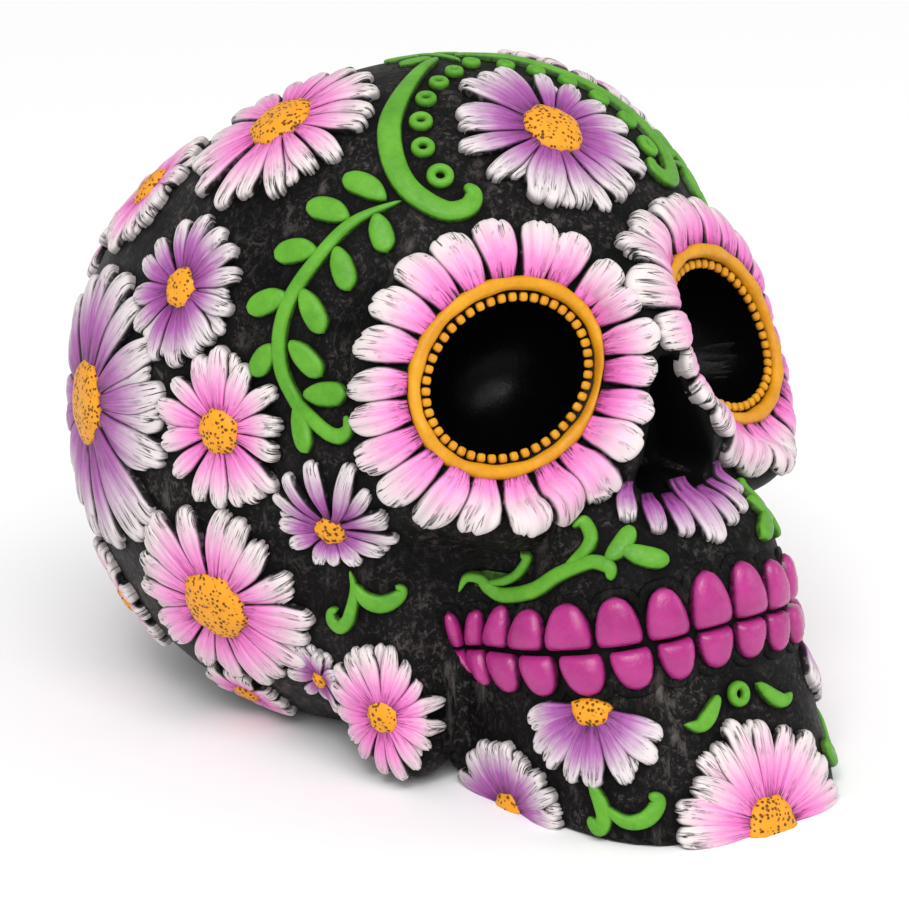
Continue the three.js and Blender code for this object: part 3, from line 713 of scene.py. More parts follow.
# one strong paint with brushed tones, darker where the mark called wash says
def plainMaterial(finish):
    material, tree, shader = newMaterial(finish["name"])
    broad = objectNoise(tree, plainBrush["broadScale"], 4)
    fine = objectNoise(tree, plainBrush["fineScale"], 5, 0.65, 0.3)
    wash = readMark(tree, "wash")
    tone = maths(tree, "ADD", maths(tree, "MULTIPLY", broad, 0.65), maths(tree, "MULTIPLY", fine, 0.35))
    tone = rescale(tree, tone, 0.36, 0.64, 0, 1)
    paint = mixColours(tree, tone, (*finish["light"], 1), (*finish["deep"], 1))
    dark = maths(tree, "MULTIPLY", wash, rescale(tree, fine, 0.3, 0.6, 0.6, 1.05), clamp=True)
    chip = rescale(tree, fine, 0.70, 0.76, 0, 0.5)
    dark = maths(tree, "ADD", dark, chip, clamp=True)
    paint = mixColours(tree, dark, paint, (*finish["wash"], 1))
    tree.links.new(paint, shader.inputs["Base Color"])
    tree.links.new(rescale(tree, fine, 0.3, 0.7, *finish["rough"]), shader.inputs["Roughness"])
    shader.inputs["Specular IOR Level"].default_value = finish["shine"]
    addBump(tree, shader, fine, *plainBrush["bump"])
    return material


castPaint = castMaterial()
petalPaint = {colour: petalMaterial("petal_" + colour, petalFinish[colour]) for colour in ("pink", "purple")}
discPaint = discMaterial()
rimPaint = plainMaterial(plainFinishes["rim"])
leafPaint = plainMaterial(plainFinishes["leaf"])
toothPaint = plainMaterial(plainFinishes["tooth"])
print("paints mixed")


# petals

petalShape = {
    "alongCount": 17,
    "acrossCount": 23,
    "footWidth": 0.46,
    "footHeight": 0.46,
    "edgeHeight": 0.16,
    "tipHeight": 0.22,
    "tipFrom": 0.80,
    "grooves": 2,
    "grooveWidth": 0.14,
    "grooveDepth": 0.20,
    "nicks": 3,
    "nickWidth": 0.10,
}


# heights and marks of n petals on a grid of along (0 foot to 1 tip) and across (-1 to 1): a plump
# section that rises from the foot and rounds off at the tip, less a few long grooves
def petalGrid(n, rng, height, lift):
    p = petalShape
    u = np.linspace(0, 1, p["alongCount"])
    along = (1 - (1 - u) ** 1.35)[None, :, None]
    across = np.sin(np.linspace(-1, 1, p["acrossCount"]) * np.pi / 2 * 0.86)[None, None, :]
    across = across / across.max()
    section = (1 - np.abs(across) ** 3.0) ** 0.5
    rising = p["footHeight"] + (1 - p["footHeight"]) * smoothStep(0.0, 0.6, along)
    inTip = np.maximum(along - p["tipFrom"], 0) / (1 - p["tipFrom"])
    rounding = np.sqrt(np.maximum(1 - inTip ** 2.6, 0))
    plump = p["edgeHeight"] + (1 - p["edgeHeight"]) * section
    ending = p["tipHeight"] + (1 - p["tipHeight"]) * rounding
    swell = height[:, None, None] * plump * rising * ending
    groove = np.zeros((n, p["alongCount"], p["acrossCount"]))
    for k in range(p["grooves"]):
        middle = ((k + 0.5) / p["grooves"] * 2 - 1) * 0.78 + rng.uniform(-0.13, 0.13, n)
        starts = rng.uniform(0.0, 0.35, n)[:, None, None]
        ends = rng.uniform(0.7, 1.25, n)[:, None, None]
        depth = rng.uniform(0.35, 1.0, n)[:, None, None]
        window = smoothStep(starts - 0.12, starts + 0.12, along)
        window = window * (1 - smoothStep(ends - 0.15, ends + 0.05, along))
        line = np.exp(-((across - middle[:, None, None]) / p["grooveWidth"]) ** 2)
        groove = np.maximum(groove, depth * window * line)
    top = lift[:, None, None] + swell - groove * p["grooveDepth"]
    edge = smoothStep(0.83, 0.97, np.abs(across)) + 0 * along
    wash = np.clip(np.maximum(groove * 0.22, edge) + 0.5 * smoothStep(0.97, 1.0, along), 0, 1)
    return along, across, top, wash


# tip of each petal: a round end less up to three small nicks
def tipLine(n, rng, across, roundness):
    rounded = roundness[:, None, None] * (1 - np.sqrt(np.maximum(1 - (0.97 * across) ** 2, 0)))
    nick = np.zeros((n, 1, across.shape[-1]))
    for _ in range(petalShape["nicks"]):
        middle = rng.uniform(-0.75, 0.75, n)[:, None, None]
        depth = rng.uniform(-0.03, 0.075, n).clip(0)[:, None, None]
        nick = np.maximum(nick, depth * np.exp(-((across - middle) / petalShape["nickWidth"]) ** 2))
    return 1 - rounded - nick


# a flower's ground: the skin and the way out over a square of its tangent plane, read by blending
# the four nearest grid points
def makeGround(turn, rise, radius):
    origin = spots([[turn, rise]])[0]
    origin, out = settle(origin)
    across = unit(np.cross((0, 0, 1), out))
    up = np.cross(out, across)
    count = 33
    reach = 1.12 * radius  # a little past the petals' tips
    line = np.linspace(-reach, reach, count)
    gx, gy = np.meshgrid(line, line, indexing="ij")
    flat = origin + gx[..., None] * across + gy[..., None] * up
    skin, way = settle(flat)
    both = np.concatenate([skin, way], -1)

    def read(x, y):
        fx = np.clip((x - line[0]) / (line[1] - line[0]), 0, count - 1.001)
        fy = np.clip((y - line[0]) / (line[1] - line[0]), 0, count - 1.001)
        i, j = fx.astype(int), fy.astype(int)
        a, b = (fx - i)[..., None], (fy - j)[..., None]
        low = both[i, j] * (1 - a) + both[i + 1, j] * a
        high = both[i, j + 1] * (1 - a) + both[i + 1, j + 1] * a
        value = low * (1 - b) + high * b
        return value[..., :3], unit(value[..., 3:])

    return read


daisyShape = {
    "topHeight": 1.7,
    "topLift": 0.3,
    "underHeight": 1.1,
    "underLift": 0.1,
    "topShare": 0.88,
    "underShare": 0.45,
    "fill": 0.325,
    "fanFill": 0.385,
    "discHeight": 2.3,
    "discLift": 0.5,
    "discRings": 12,
    "discRound": 47,
}


# a daisy: two layers of petals laid out from the middle in the tangent plane, then set on the skin,
# and a domed disc in the middle
def addDaisy(
    node, colour, turn, rise, radius, discRadius, petals, fanFrom, fanSweep, seed,
    above=1, below=1, ahead=1, discTop=1,
):
    d = daisyShape
    rng = np.random.default_rng(seed)
    ground = makeGround(turn, rise, radius * max(above, ahead, 1))
    whole = fanSweep >= 360
    count = round(petals * d["topShare"]) if whole else petals
    pitch = np.radians(fanSweep) / count
    start = np.radians(fanFrom) + (rng.uniform(0, 1) * pitch if whole else pitch / 2)
    first = start + pitch * np.arange(count) + rng.uniform(-0.14, 0.14, count) * pitch
    between = start + pitch * (np.arange(count if whole else count - 1) + 0.5)
    under = between[rng.uniform(0, 1, len(between)) < d["underShare"]]
    angle = np.concatenate([under, first])
    n = len(angle)
    isTop = np.arange(n) >= len(under)
    length = radius * np.where(isTop, rng.uniform(0.90, 1.02, n), rng.uniform(0.80, 0.97, n))
    length = length * np.where(np.sin(angle) > 0, above, below) ** np.abs(np.sin(angle))
    length = length * ahead ** np.maximum(-np.sign(turn) * np.cos(angle), 0)  # towards the face
    fill = d["fill"] if whole else d["fanFill"]
    halfWidth = pitch * radius * fill * np.where(isTop, rng.uniform(0.86, 1.16, n), 0.9)
    height = np.where(isTop, d["topHeight"], d["underHeight"]) * rng.uniform(0.88, 1.08, n)
    height = height * np.clip(radius / 14, 0.6, 1)
    lift = np.where(isTop, d["topLift"] + rng.uniform(0, 0.35, n), d["underLift"])
    along, across, top, wash = petalGrid(n, rng, height, lift)
    roundness = np.minimum(halfWidth / (length - 0.6 * discRadius) * 0.95, 0.42)
    tips = tipLine(n, rng, across, roundness)
    foot = discRadius * 0.72
    reach = foot + along * (length[:, None, None] * tips - foot)
    spread = petalShape["footWidth"] + (1 - petalShape["footWidth"]) * smoothStep(0.0, 0.72, along)
    spread = spread * (1 - 0.12 * smoothStep(0.75, 1.0, along))
    side = across * halfWidth[:, None, None] * spread
    bend = angle[:, None, None] + rng.uniform(-0.10, 0.10, n)[:, None, None] * along ** 2
    x = reach * np.cos(bend) - side * np.sin(bend)
    y = reach * np.sin(bend) + side * np.cos(bend)
    skin, way = ground(x, y)
    addPetals(node + "_petals", node, colour, skin, way, along, across, top, wash, rng)
    addDisc(node, ground, discRadius, discTop, rng)


def addPetals(name, node, colour, skin, way, along, across, top, wash, rng, flip=False):
    reliefPoints.append(skin.reshape(-1, 3))
    above = skin + way * top[..., None]
    points, quads, fan, spreadOut = cappedPatches(above, skin + way * reliefSunk)
    if flip:
        quads, fan = quads[:, ::-1], fan[:, ::-1]
    marks = {
        "along": spreadOut(along),
        "across": spreadOut(across),
        "tone": spreadOut(rng.uniform(0, 1, len(skin))[:, None, None]),
        "wash": spreadOut(wash),
    }
    buildPiece(name, points, quads, fan, marks, petalPaint[colour], "petal_" + colour, [node])


# a flower's disc: a dome whose height falls with a power of the way out, with a slightly uneven edge
def addDisc(node, ground, radius, topShare, rng):
    d = daisyShape
    rings, rounds = d["discRings"], d["discRound"]
    share = np.linspace(0.06, 1.0, rings)[:, None]
    turn = np.linspace(0, 2 * np.pi, rounds, endpoint=False)[None, :]
    uneven = 1 + 0.035 * np.sin(5 * turn + rng.uniform(0, 6)) + 0.025 * np.sin(9 * turn + rng.uniform(0, 6))
    reach = radius * 1.02 * share * uneven
    x, y = reach * np.cos(turn), reach * np.sin(turn)
    y = np.where(y > 0, y * topShare, y)
    skin, way = ground(x, y)
    tall = d["discHeight"] * np.clip(radius / 5, 0.6, 1.0)
    top = d["discLift"] + tall * (1 - share ** 3.2) ** 0.6 + 0 * turn
    dome = skin + way * top[..., None]
    below = skin[-1:] + way[-1:] * reliefSunk
    middle, middleWay = ground(np.array(0.0), np.array(0.0))
    crest = middle + middleWay * (d["discLift"] + tall)
    heel = middle + middleWay * reliefSunk
    points, quads, triangles = ringStack(np.concatenate([dome, below]), crest, heel)
    edge = np.broadcast_to(0.85 * smoothStep(0.93, 1.0, share), (rings, rounds)).ravel()
    wash = np.concatenate([edge, np.ones(rounds), [0, 1]])
    buildPiece(node + "_disc", points, quads, triangles, {"wash": wash}, discPaint, "rim_orange", [node])


# daisies: node, colour, turn, rise, radius, disc radius, petals, and for half flowers the fan

singleDaisies = [
    ("forehead_daisy", "purple", 1.5, 61, 20.5, 6.0, 20, 0, 360),
    ("back_daisy", "purple", 180, 4, 24, 6.6, 19, 0, 360),
    ("back_top_daisy", "pink", 180, 47, 18.5, 5.4, 18, 0, 360),
    ("chin_daisy", "pink", 0, -32.8, 20.5, 5.6, 10, -4, 188),
    ("back_base_daisy", "pink", 180, -33, 14.5, 4.3, 15, 0, 360),
]
pairedDaisies = [
    ("crown_daisy", "pink", 97, 58, 21.5, 6.6, 21, 0, 360),
    ("rear_top_daisy", "pink", 132, 35, 15.5, 4.6, 16, 0, 360),
    ("temple_daisy", "purple", 94, 26, 14.8, 3.9, 16, 0, 360),
    ("side_daisy", "purple", 118, 1, 29.5, 8.4, 19, 0, 360),
    ("mid_daisy", "pink", 81, 4, 15.4, 4.4, 16, 0, 360),
    ("low_daisy", "pink", 85.5, -28, 21.5, 7.2, 20, 0, 360),
    ("cheek_daisy", "purple", 59, -11.5, 10.2, 3.1, 14, 0, 360),
    ("jaw_corner_daisy", "pink", 48.7, -38, 14.2, 3.2, 18, 0, 360),
    ("behind_jaw_daisy", "purple", 65.5, -41.6, 8.5, 1.9, 11, 0, 360),
    ("rear_low_daisy", "pink", 124, -33, 13.5, 3.8, 15, 0, 360),
    ("base_daisy", "pink", 96, -50, 10, 2.9, 13, 0, 360),
    ("jaw_daisy", "purple", 18.6, -25.6, 15.5, 3.7, 8, 184, 172),
    ("jaw_base_daisy", "purple", 27, -43.2, 15.8, 3.8, 9, 0, 180),
    ("back_mid_daisy", "pink", 151, 21, 14.5, 4.3, 15, 0, 360),
    ("back_low_daisy", "purple", 152, -24, 16.0, 4.6, 16, 0, 360),
]
daisyExtras = {
    "side_daisy": {"ahead": 1.12},
    "cheek_daisy": {"above": 1.5, "below": 0.78, "ahead": 1.28},
    "jaw_daisy": {"discTop": 0.4},
    "jaw_base_daisy": {"above": 0.84},
}
daisyShifts = {"left_jaw_daisy": 2.2}  # made by hand, one sits a little further round
sides = (("left", 1), ("right", -1))
seeds = {"single": 11, "nose": 29, "paired": 100, "eyePetals": 300, "rims": 310}
for number, row in enumerate(singleDaisies):
    addDaisy(*row, seed=seeds["single"] + number)

# petals that hang under the nose, each from its foot to its tip: foot, tip, width
nosePetals = [
    ((9.2, -0.8), (11.0, -5.8), 3.9),
    ((6.2, -3.2), (7.8, -6.7), 3.7),
    ((3.2, -3.5), (4.2, -7.2), 4.0),
    ((0.0, -1.8), (0.0, -8.4), 5.8),
    ((-3.2, -3.5), (-4.2, -7.2), 4.0),
    ((-6.2, -3.2), (-7.8, -6.7), 3.7),
    ((-9.2, -0.8), (-11.0, -5.8), 3.9),
]


# each petal runs straight from its foot to its tip, its width to either side, and is set on the skin
def addNosePetals():
    rng = np.random.default_rng(seeds["nose"])
    n = len(nosePetals)
    foot = spots([row[0] for row in nosePetals])
    tip = spots([row[1] for row in nosePetals])
    half = np.array([row[2] for row in nosePetals]) / 2
    along, across, top, wash = petalGrid(n, rng, np.full(n, 1.5), np.full(n, 0.25))
    run = np.linalg.norm(tip - foot, axis=1)
    tips = tipLine(n, rng, across, np.minimum(half / run * 0.9, 0.4))
    out = settle((foot + tip) / 2)[1]
    ahead = unit(tip - foot)
    aside = unit(np.cross(out, ahead))
    spread = 0.68 + 0.32 * smoothStep(0.0, 0.5, along) - 0.12 * smoothStep(0.7, 1.0, along)
    reach = along * tips * run[:, None, None]
    flat = (
        foot[:, None, None]
        + reach[..., None] * ahead[:, None, None]
        + (across * spread * half[:, None, None])[..., None] * aside[:, None, None]
    )
    skin, way = settle(flat)
    addPetals("nose_petals", "nose_petals", "purple", skin, way, along * 0.84, across, top, wash, rng)


addNosePetals()
for number, (node, colour, turn, *rest) in enumerate(pairedDaisies):
    for name, side in sides:
        seed = seeds["paired"] + 2 * number + (side < 0)
        whole = name + "_" + node
        there = turn * side + daisyShifts.get(whole, 0)
        addDaisy(whole, colour, there, *rest, seed, **daisyExtras.get(node, {}))
print("daisies laid on")


# eye petals, rims and beads

eyeDress = {
    "rimOuter": (19.9, 16.8),
    "rimWidth": 2.6,
    "rimHeight": 1.7,
    "petals": 22,
    "firstPetal": 5,
    "petalHeight": 2.0,
    "petalLift": 0.3,
    "beads": 46,
    "beadInset": 3.7,
    "beadSize": (0.76, 0.85, 0.70),
    "beadRise": 0.25,
}


# how far the petals reach from the rim by angle; over the bridge of the nose the left eye's lie past the
# middle and the right eye's stop short of them
reachAngles = [0, 24, 40, 70, 117, 134, 152, 167, 180, 195, 203, 215, 235, 252, 268, 285, 310, 347]
eyeReach = {
    1: [9.2, 6.4, 6.6, 9.0, 9.6, 10.0, 11.5, 13.6, 15.0, 12.8, 10.4, 6.7, 7.2, 8.0, 9.5, 9.4, 9.4, 9.4],
    -1: [9.2, 6.4, 6.6, 9.0, 10.4, 10.2, 9.0, 7.8, 6.6, 6.4, 6.8, 7.4, 7.6, 8.2, 11.2, 10.2, 9.4, 9.4],
}


# keeps only the slow waves of values that go once round
def calm(values, waves=3):
    parts = np.fft.rfft(values, axis=0)
    parts[waves + 1:] = 0
    return np.fft.irfft(parts, len(values), axis=0)


# a place round the eye in its plane: an oval with the rim's radii grown by reach
def eyeOval(reach, angle):
    long, short = eyeDress["rimOuter"]
    return eyeCentre + (
        ((long + reach) * np.cos(angle))[..., None] * ovalLong
        + ((short + reach) * np.sin(angle))[..., None] * ovalShort
    )


# that place on the nearest skin
def roundEye(reach, angle):
    return settle(eyeOval(reach, angle))


# that place carried back along the eye's axis to the skin, so that petals hang over the edge of the pad
def behindEye(reach, angle, side):
    skin = walkToSkin(eyeOval(reach, angle), eyeOut, 20.0)
    return skin * mirrorOf(side), unit(slopeAt(skin)) * mirrorOf(side)


# petals round the eye, laid on from the rim outwards
def addEyePetals(name, side, seed):
    d = eyeDress
    rng = np.random.default_rng(seed)
    n = d["petals"]
    pitch = 2 * np.pi / n
    angle = np.radians(d["firstPetal"]) + pitch * (np.arange(n) + rng.uniform(-0.06, 0.06, n))
    length = np.interp(np.degrees(angle), reachAngles, eyeReach[side], period=360)
    length = length * rng.uniform(0.96, 1.02, n)
    for _ in range(20):  # a petal that would hang over the nose is made shorter
        for share in (-0.32, 0, 0.32):
            skin, way = behindEye(length * (1 - 0.5 * share * share), angle + share * pitch, 1)
            x, height, out = fromNose(skin)
            length = np.where(noseOutline(x, height) < -0.4, length - 0.3, length)
    height = d["petalHeight"] * rng.uniform(0.88, 1.06, n)
    lift = d["petalLift"] + rng.uniform(0, 0.25, n)
    along, across, top, wash = petalGrid(n, rng, height, lift)
    tips = tipLine(n, rng, across, np.minimum(2.9 / length * 0.9, 0.42))
    reach = -0.6 + along * (length[:, None, None] * tips + 0.6)
    spread = 0.84 + 0.20 * smoothStep(0.0, 0.6, along) - 0.10 * smoothStep(0.75, 1.0, along)
    swing = angle[:, None, None] + across * pitch * 0.5 * spread
    skin, way = behindEye(reach, swing, side)
    addPetals(name, name, "pink", skin, way, along, across, top, wash, rng, side < 0)


# the rim: a flattened roll carried round the eye's ellipse, a little uneven
def addEyeRim(name, side, seed):
    d = eyeDress
    rng = np.random.default_rng(seed)
    rounds, section = 144, 20
    turn = np.linspace(0, 2 * np.pi, rounds, endpoint=False)[:, None]
    loop = np.linspace(0, 2 * np.pi, section, endpoint=False)[None, :]
    uneven = 1 + 0.07 * np.sin(7 * turn + rng.uniform(0, 6)) + 0.06 * np.sin(17 * turn + rng.uniform(0, 6))
    across = np.sign(np.cos(loop)) * np.abs(np.cos(loop)) ** 0.75
    rising = np.sign(np.sin(loop)) * np.abs(np.sin(loop)) ** 0.75
    reach = d["rimWidth"] / 2 * (across * uneven - 1)
    height = 0.35 + d["rimHeight"] * rising * uneven
    skin, way = roundEye(reach, turn + 0 * loop)
    rise = (skin - eyeCentre) @ eyeOut
    flat = skin - rise[..., None] * eyeOut
    tilted = unit(calm(way) + eyeOut)
    mirror = mirrorOf(side)
    reliefPoints.append(skin.reshape(-1, 3) * mirror)
    points = (flat + calm(rise)[..., None] * eyeOut + tilted * height[..., None]) * mirror
    quads = ringFaces(rounds, section)
    if side > 0:
        quads = quads[:, ::-1]
    wash = np.broadcast_to(smoothStep(0.25, -0.25, rising), (rounds, section))
    points = points.reshape(-1, 3)
    buildPiece(name, points, quads, noTriangles, {"wash": wash}, rimPaint, "rim_orange", [name])


# beads: small rounded blocks set side by side on the slope inside the rim
def addBeads(name, side, node):
    d = eyeDress
    n = d["beads"]
    turn = 2 * np.pi * np.arange(n) / n
    inset = np.full(n, -d["beadInset"])
    skin, way = roundEye(inset, turn)
    ahead = roundEye(inset, turn + 0.01)[0]
    tangent = unit(ahead - skin)
    inward = unit(np.cross(way, tangent))
    rows, rounds = 5, 12
    tilt = np.linspace(-np.pi / 2, np.pi / 2, rows + 2)[1:-1, None]
    spin = np.linspace(0, 2 * np.pi, rounds, endpoint=False)[None, :]

    def squared(v):
        return np.sign(v) * np.abs(v) ** 0.6

    long, wide, tall = d["beadSize"]
    a = long * squared(np.cos(tilt)) * squared(np.cos(spin))
    b = wide * squared(np.cos(tilt)) * squared(np.sin(spin))
    c = tall * squared(np.sin(tilt)) + 0 * spin
    bead = np.stack([a, b, c], -1)
    axes = np.stack([tangent, inward, way], 1)
    seat = skin + way * d["beadRise"]
    low, high = seat - tall * way, seat + tall * way
    mirror = mirrorOf(side)
    bodies = [
        ringStack((seat[k] + bead @ axes[k]) * mirror, low[k] * mirror, high[k] * mirror)
        for k in range(n)
    ]
    wash = np.repeat(smoothStep(0.15, -0.55, squared(np.sin(tilt[:, 0]))), rounds)
    marks = {"wash": np.tile(np.concatenate([wash, [1, 0]]), n)}
    buildPiece(name, *gather(bodies), marks, rimPaint, "rim_orange", [node])


# the socket's glossy bowl: half an egg that flares out over the skin to under the rim, with a thin wall
def addBowl(name, side):
    e = eyeShape
    rows, rounds = 26, 72
    drop = np.linspace(0.04, np.pi / 2, rows)[:, None]
    turn = np.linspace(0, 2 * np.pi, rounds, endpoint=False)[None, :]
    centre = eyeCentre + e["bowlRise"] * eyeOut

    def cup(grow):
        a, b, c = np.array(e["bowlRadii"]) + grow
        return centre + (
            (a * np.sin(drop) * np.cos(turn))[..., None] * ovalLong
            + (b * np.sin(drop) * np.sin(turn))[..., None] * ovalShort
            - (c * np.cos(drop) + 0 * turn)[..., None] * eyeOut
        )

    flare = np.linspace(-3.9, -0.9, 6)[:, None] + 0 * turn
    skin, way = roundEye(flare, turn + 0 * flare)
    wall = e["bowlWall"]
    rings = np.concatenate([cup(0), skin + 0.1 * way, (skin - wall * way)[::-1], cup(wall)[::-1]])
    low = centre - e["bowlRadii"][2] * eyeOut
    mirror = mirrorOf(side)
    points, quads, triangles = ringStack(rings * mirror, low * mirror, (low - wall * eyeOut) * mirror)
    marks = {"hollow": np.ones(len(points)), "paintedShade": np.zeros(len(points))}
    buildPiece(name, points, quads, triangles, marks, castPaint, "skull_black", ["cranium"])


# the nose hollow: its outline, scaled and grown, is set on the skin and then raised a little for the lip or
# carried in towards the view point for the wall and the floor, and back outside them
noseRings = [
    # scale, grown by, raised, carried in, how much painted shade blackens it
    (0.35, 0.0, 0.0, 12.6, 1.0),
    (0.85, 0.0, 0.0, 12.4, 1.0),
    (0.96, 0.0, 0.0, 11.8, 1.0),
    (1.0, 0.0, 0.0, 10.6, 1.0),
    (1.0, 0.0, 0.0, 7.0, 1.0),
    (1.0, 0.0, 0.0, 3.0, 1.0),
    (1.0, 0.0, 0.0, 0.8, 1.0),
    (1.0, 0.3, 0.0, 0.0, 1.0),
    (1.0, 0.9, 0.18, 0.0, 0.9),
    (1.0, 1.6, 0.18, 0.0, 0.7),
    (1.0, 2.4, 0.03, 0.0, 0.4),
    (1.0, 2.6, -0.8, 0.0, 0.0),
    (1.0, 0.7, 0.0, 3.0, 0.0),
    (1.0, 0.7, 0.0, 11.0, 0.0),
    (1.0, 0.4, 0.0, 13.2, 0.0),
    (0.35, 0.0, 0.0, 13.6, 0.0),
]


def addNoseHollow():
    rounds = 144
    turn = np.linspace(0, 2 * np.pi, rounds, endpoint=False)
    across, up = np.cos(turn), np.sin(turn)
    middle = -1.0
    reach = np.zeros(rounds)
    for _ in range(60):
        reach = reach - 0.8 * noseOutline(reach * across, middle + reach * up)
    scale, grown, raised, inward, black = np.array(noseRings).T[..., None]

    def place(reach, raised, inward):
        flat = np.array(noseShape["centre"]) + (
            (reach * across)[..., None] * np.array([1.0, 0, 0]) + (middle + reach * up)[..., None] * noseUp
        )
        skin = walkToSkin(flat, noseOut, 25.0)
        toMiddle = unit(viewPoint - skin)
        return skin + raised[..., None] * noseOut + inward[..., None] * toMiddle

    rings = place(scale * reach + grown, raised, inward)
    ends = place(np.full((2, rounds), 0.01), np.zeros((2, 1)), inward[[0, -1]])[:, 0]
    points, quads, triangles = ringStack(rings, ends[0], ends[1])
    # painted shade: the wall and floor of the hollow are painted black and rough, fading out over the lip
    deep = np.concatenate([np.repeat(black[:, 0], rounds), [1, 0]])
    marks = {"hollow": np.zeros(len(points)), "paintedShade": deep}
    buildPiece("nose_hollow", points, quads, triangles, marks, castPaint, "skull_black", ["cranium"])


for name, side in sides:
    addBowl(name + "_socket_bowl", side)
    addEyePetals(name + "_eye_petals", side, seeds["eyePetals"] + side)
    addEyeRim(name + "_eye_rim", side, seeds["rims"] + side)
    addBeads(name + "_eye_beads", side, name + "_eye_rim")
addNoseHollow()
print("eyes and nose dressed")


# green scrolls, sprays and leaves

greenShape = {
    "stemHeight": 1.35,
    "leafHeight": 1.35,
    "crownHeight": 0.6,
    "lift": 0.2,
    "acrossCount": 13,
}


# a strip: a rounded section carried along a smooth line on the skin, its width following its own curve
def stripGrid(places, widths, height, count):
    g = greenShape
    line = smoothRows(spots(places), count)
    width = smoothRows(widths, count)[:, 0]
    line, out = settle(line)
    tangent = unit(np.gradient(line, axis=0))
    side = unit(np.cross(out, tangent))
    across = np.sin(np.linspace(-1, 1, g["acrossCount"]) * np.pi / 2)
    ends = np.sqrt(np.clip(1 - np.linspace(-1, 1, count) ** 8, 0, 1))
    half = np.maximum(width / 2 * (0.15 + 0.85 * ends), 0.12)
    flat = line[:, None] + (half[:, None] * across[None, :])[..., None] * side[:, None]
    skin, way = settle(flat, 4)
    section = (1 - np.abs(across) ** 3.6) ** 0.5
    tall = height * np.minimum(half / 1.1, 1.0) ** 0.5
    top = g["lift"] + tall[:, None] * (0.12 + 0.88 * section[None, :])
    wash = 0.85 * smoothStep(0.88, 1.0, np.abs(across))[None, :] + 0 * top
    return skin, way, top, wash


def addGreen(name, strips, node):
    bodies, washes = [], []
    for places, widths, height, count in strips:
        skin, way, top, wash = stripGrid(places, widths, height, count)
        reliefPoints.append(skin.reshape(-1, 3))
        above = (skin + way * top[..., None])[None]
        below = (skin + way * reliefSunk)[None]
        *body, spreadOut = cappedPatches(above, below)
        bodies.append(body)
        washes.append(spreadOut(wash[None]))
    marks = {"wash": np.concatenate(washes)}
    buildPiece(name, *gather(bodies), marks, leafPaint, "leaf_green", [node] if node else [])


# a leaf from its foot to its tip, bowed a little to one side, full and round with a short point
def leafStrip(foot, tip, width, bow=0.0):
    foot, tip = np.array(foot, float), np.array(tip, float)
    way = tip - foot
    middle = (foot + tip) / 2 + bow * np.array([-way[1], way[0]])
    outline = np.array([0.30, 0.66, 0.92, 1.0, 1.0, 0.88, 0.50]) * width
    return [foot, middle, tip], outline, greenShape["leafHeight"], 25


def mirrorStrips(strips, side):
    return [([(t * side, r) for t, r in places], *rest) for places, *rest in strips]


stem = greenShape["stemHeight"]
browScroll = [
    (
        [(56.1, 86.5), (58.2, 75.9), (57.4, 64.4), (54.7, 58.1), (50.3, 52.3), (45.2, 48.4),
         (37.8, 45.6), (32.6, 46.2), (30.8, 48.6), (32.8, 50.4)],
        [2.0, 3.0, 4.2, 4.5, 4.4, 4.2, 4.0, 3.9, 3.4, 2.6], stem, 96,
    ),
]
leafSpray = [
    (
        [(48.3, 47.0), (58.7, 42.2), (65.3, 34.4), (68.8, 28.1), (69.8, 22.0), (68.6, 16.0),
         (65.0, 11.2), (61.2, 8.8), (57.8, 6.9), (55.4, 6.6), (54.0, 8.0), (54.8, 10.0)],
        [1.4, 2.3, 2.7, 2.8, 2.8, 2.8, 2.7, 2.6, 2.7, 2.9, 2.6, 2.0], stem, 110,
    ),
    leafStrip((51.8, 46.9), (63.7, 49.8), 4.6, 0.06),
    leafStrip((59.2, 42.9), (70.0, 43.9), 4.6, 0.06),
    leafStrip((53.6, 44.4), (49.9, 38.0), 4.4, 0.0),
    leafStrip((64.6, 37.0), (73.8, 35.0), 4.6, 0.06),
    leafStrip((60.9, 38.2), (56.6, 31.2), 4.4, 0.0),
    leafStrip((69.2, 29.2), (77.0, 25.4), 4.5, 0.04),
    leafStrip((66.5, 30.6), (61.0, 23.8), 4.4, 0.0),
    leafStrip((71.2, 20.8), (74.4, 14.9), 4.2, 0.0),
    leafStrip((67.7, 21.8), (60.7, 16.4), 4.4, 0.0),
    leafStrip((64.0, 12.8), (55.2, 13.7), 4.8, 0.0),
    leafStrip((65.0, 11.2), (61.0, 3.4), 3.8, 0.0),
]
cheekSprig = [
    (
        [(55.7, -19.3), (54.9, -21.6), (54.9, -23.8), (55.4, -25.9), (56.2, -27.8), (57.9, -29.2),
         (59.6, -28.7), (59.8, -27.2), (58.6, -26.4)],
        [0.8, 1.4, 2.0, 2.4, 2.7, 2.8, 2.4, 2.0, 1.4], stem, 64,
    ),
    (
        [(54.9, -21.2), (52.6, -23.5), (49.7, -24.2), (47.1, -23.5), (45.9, -22.3), (47.2, -21.5)],
        [1.2, 2.9, 3.4, 2.9, 1.9, 1.3], stem, 48,
    ),
]
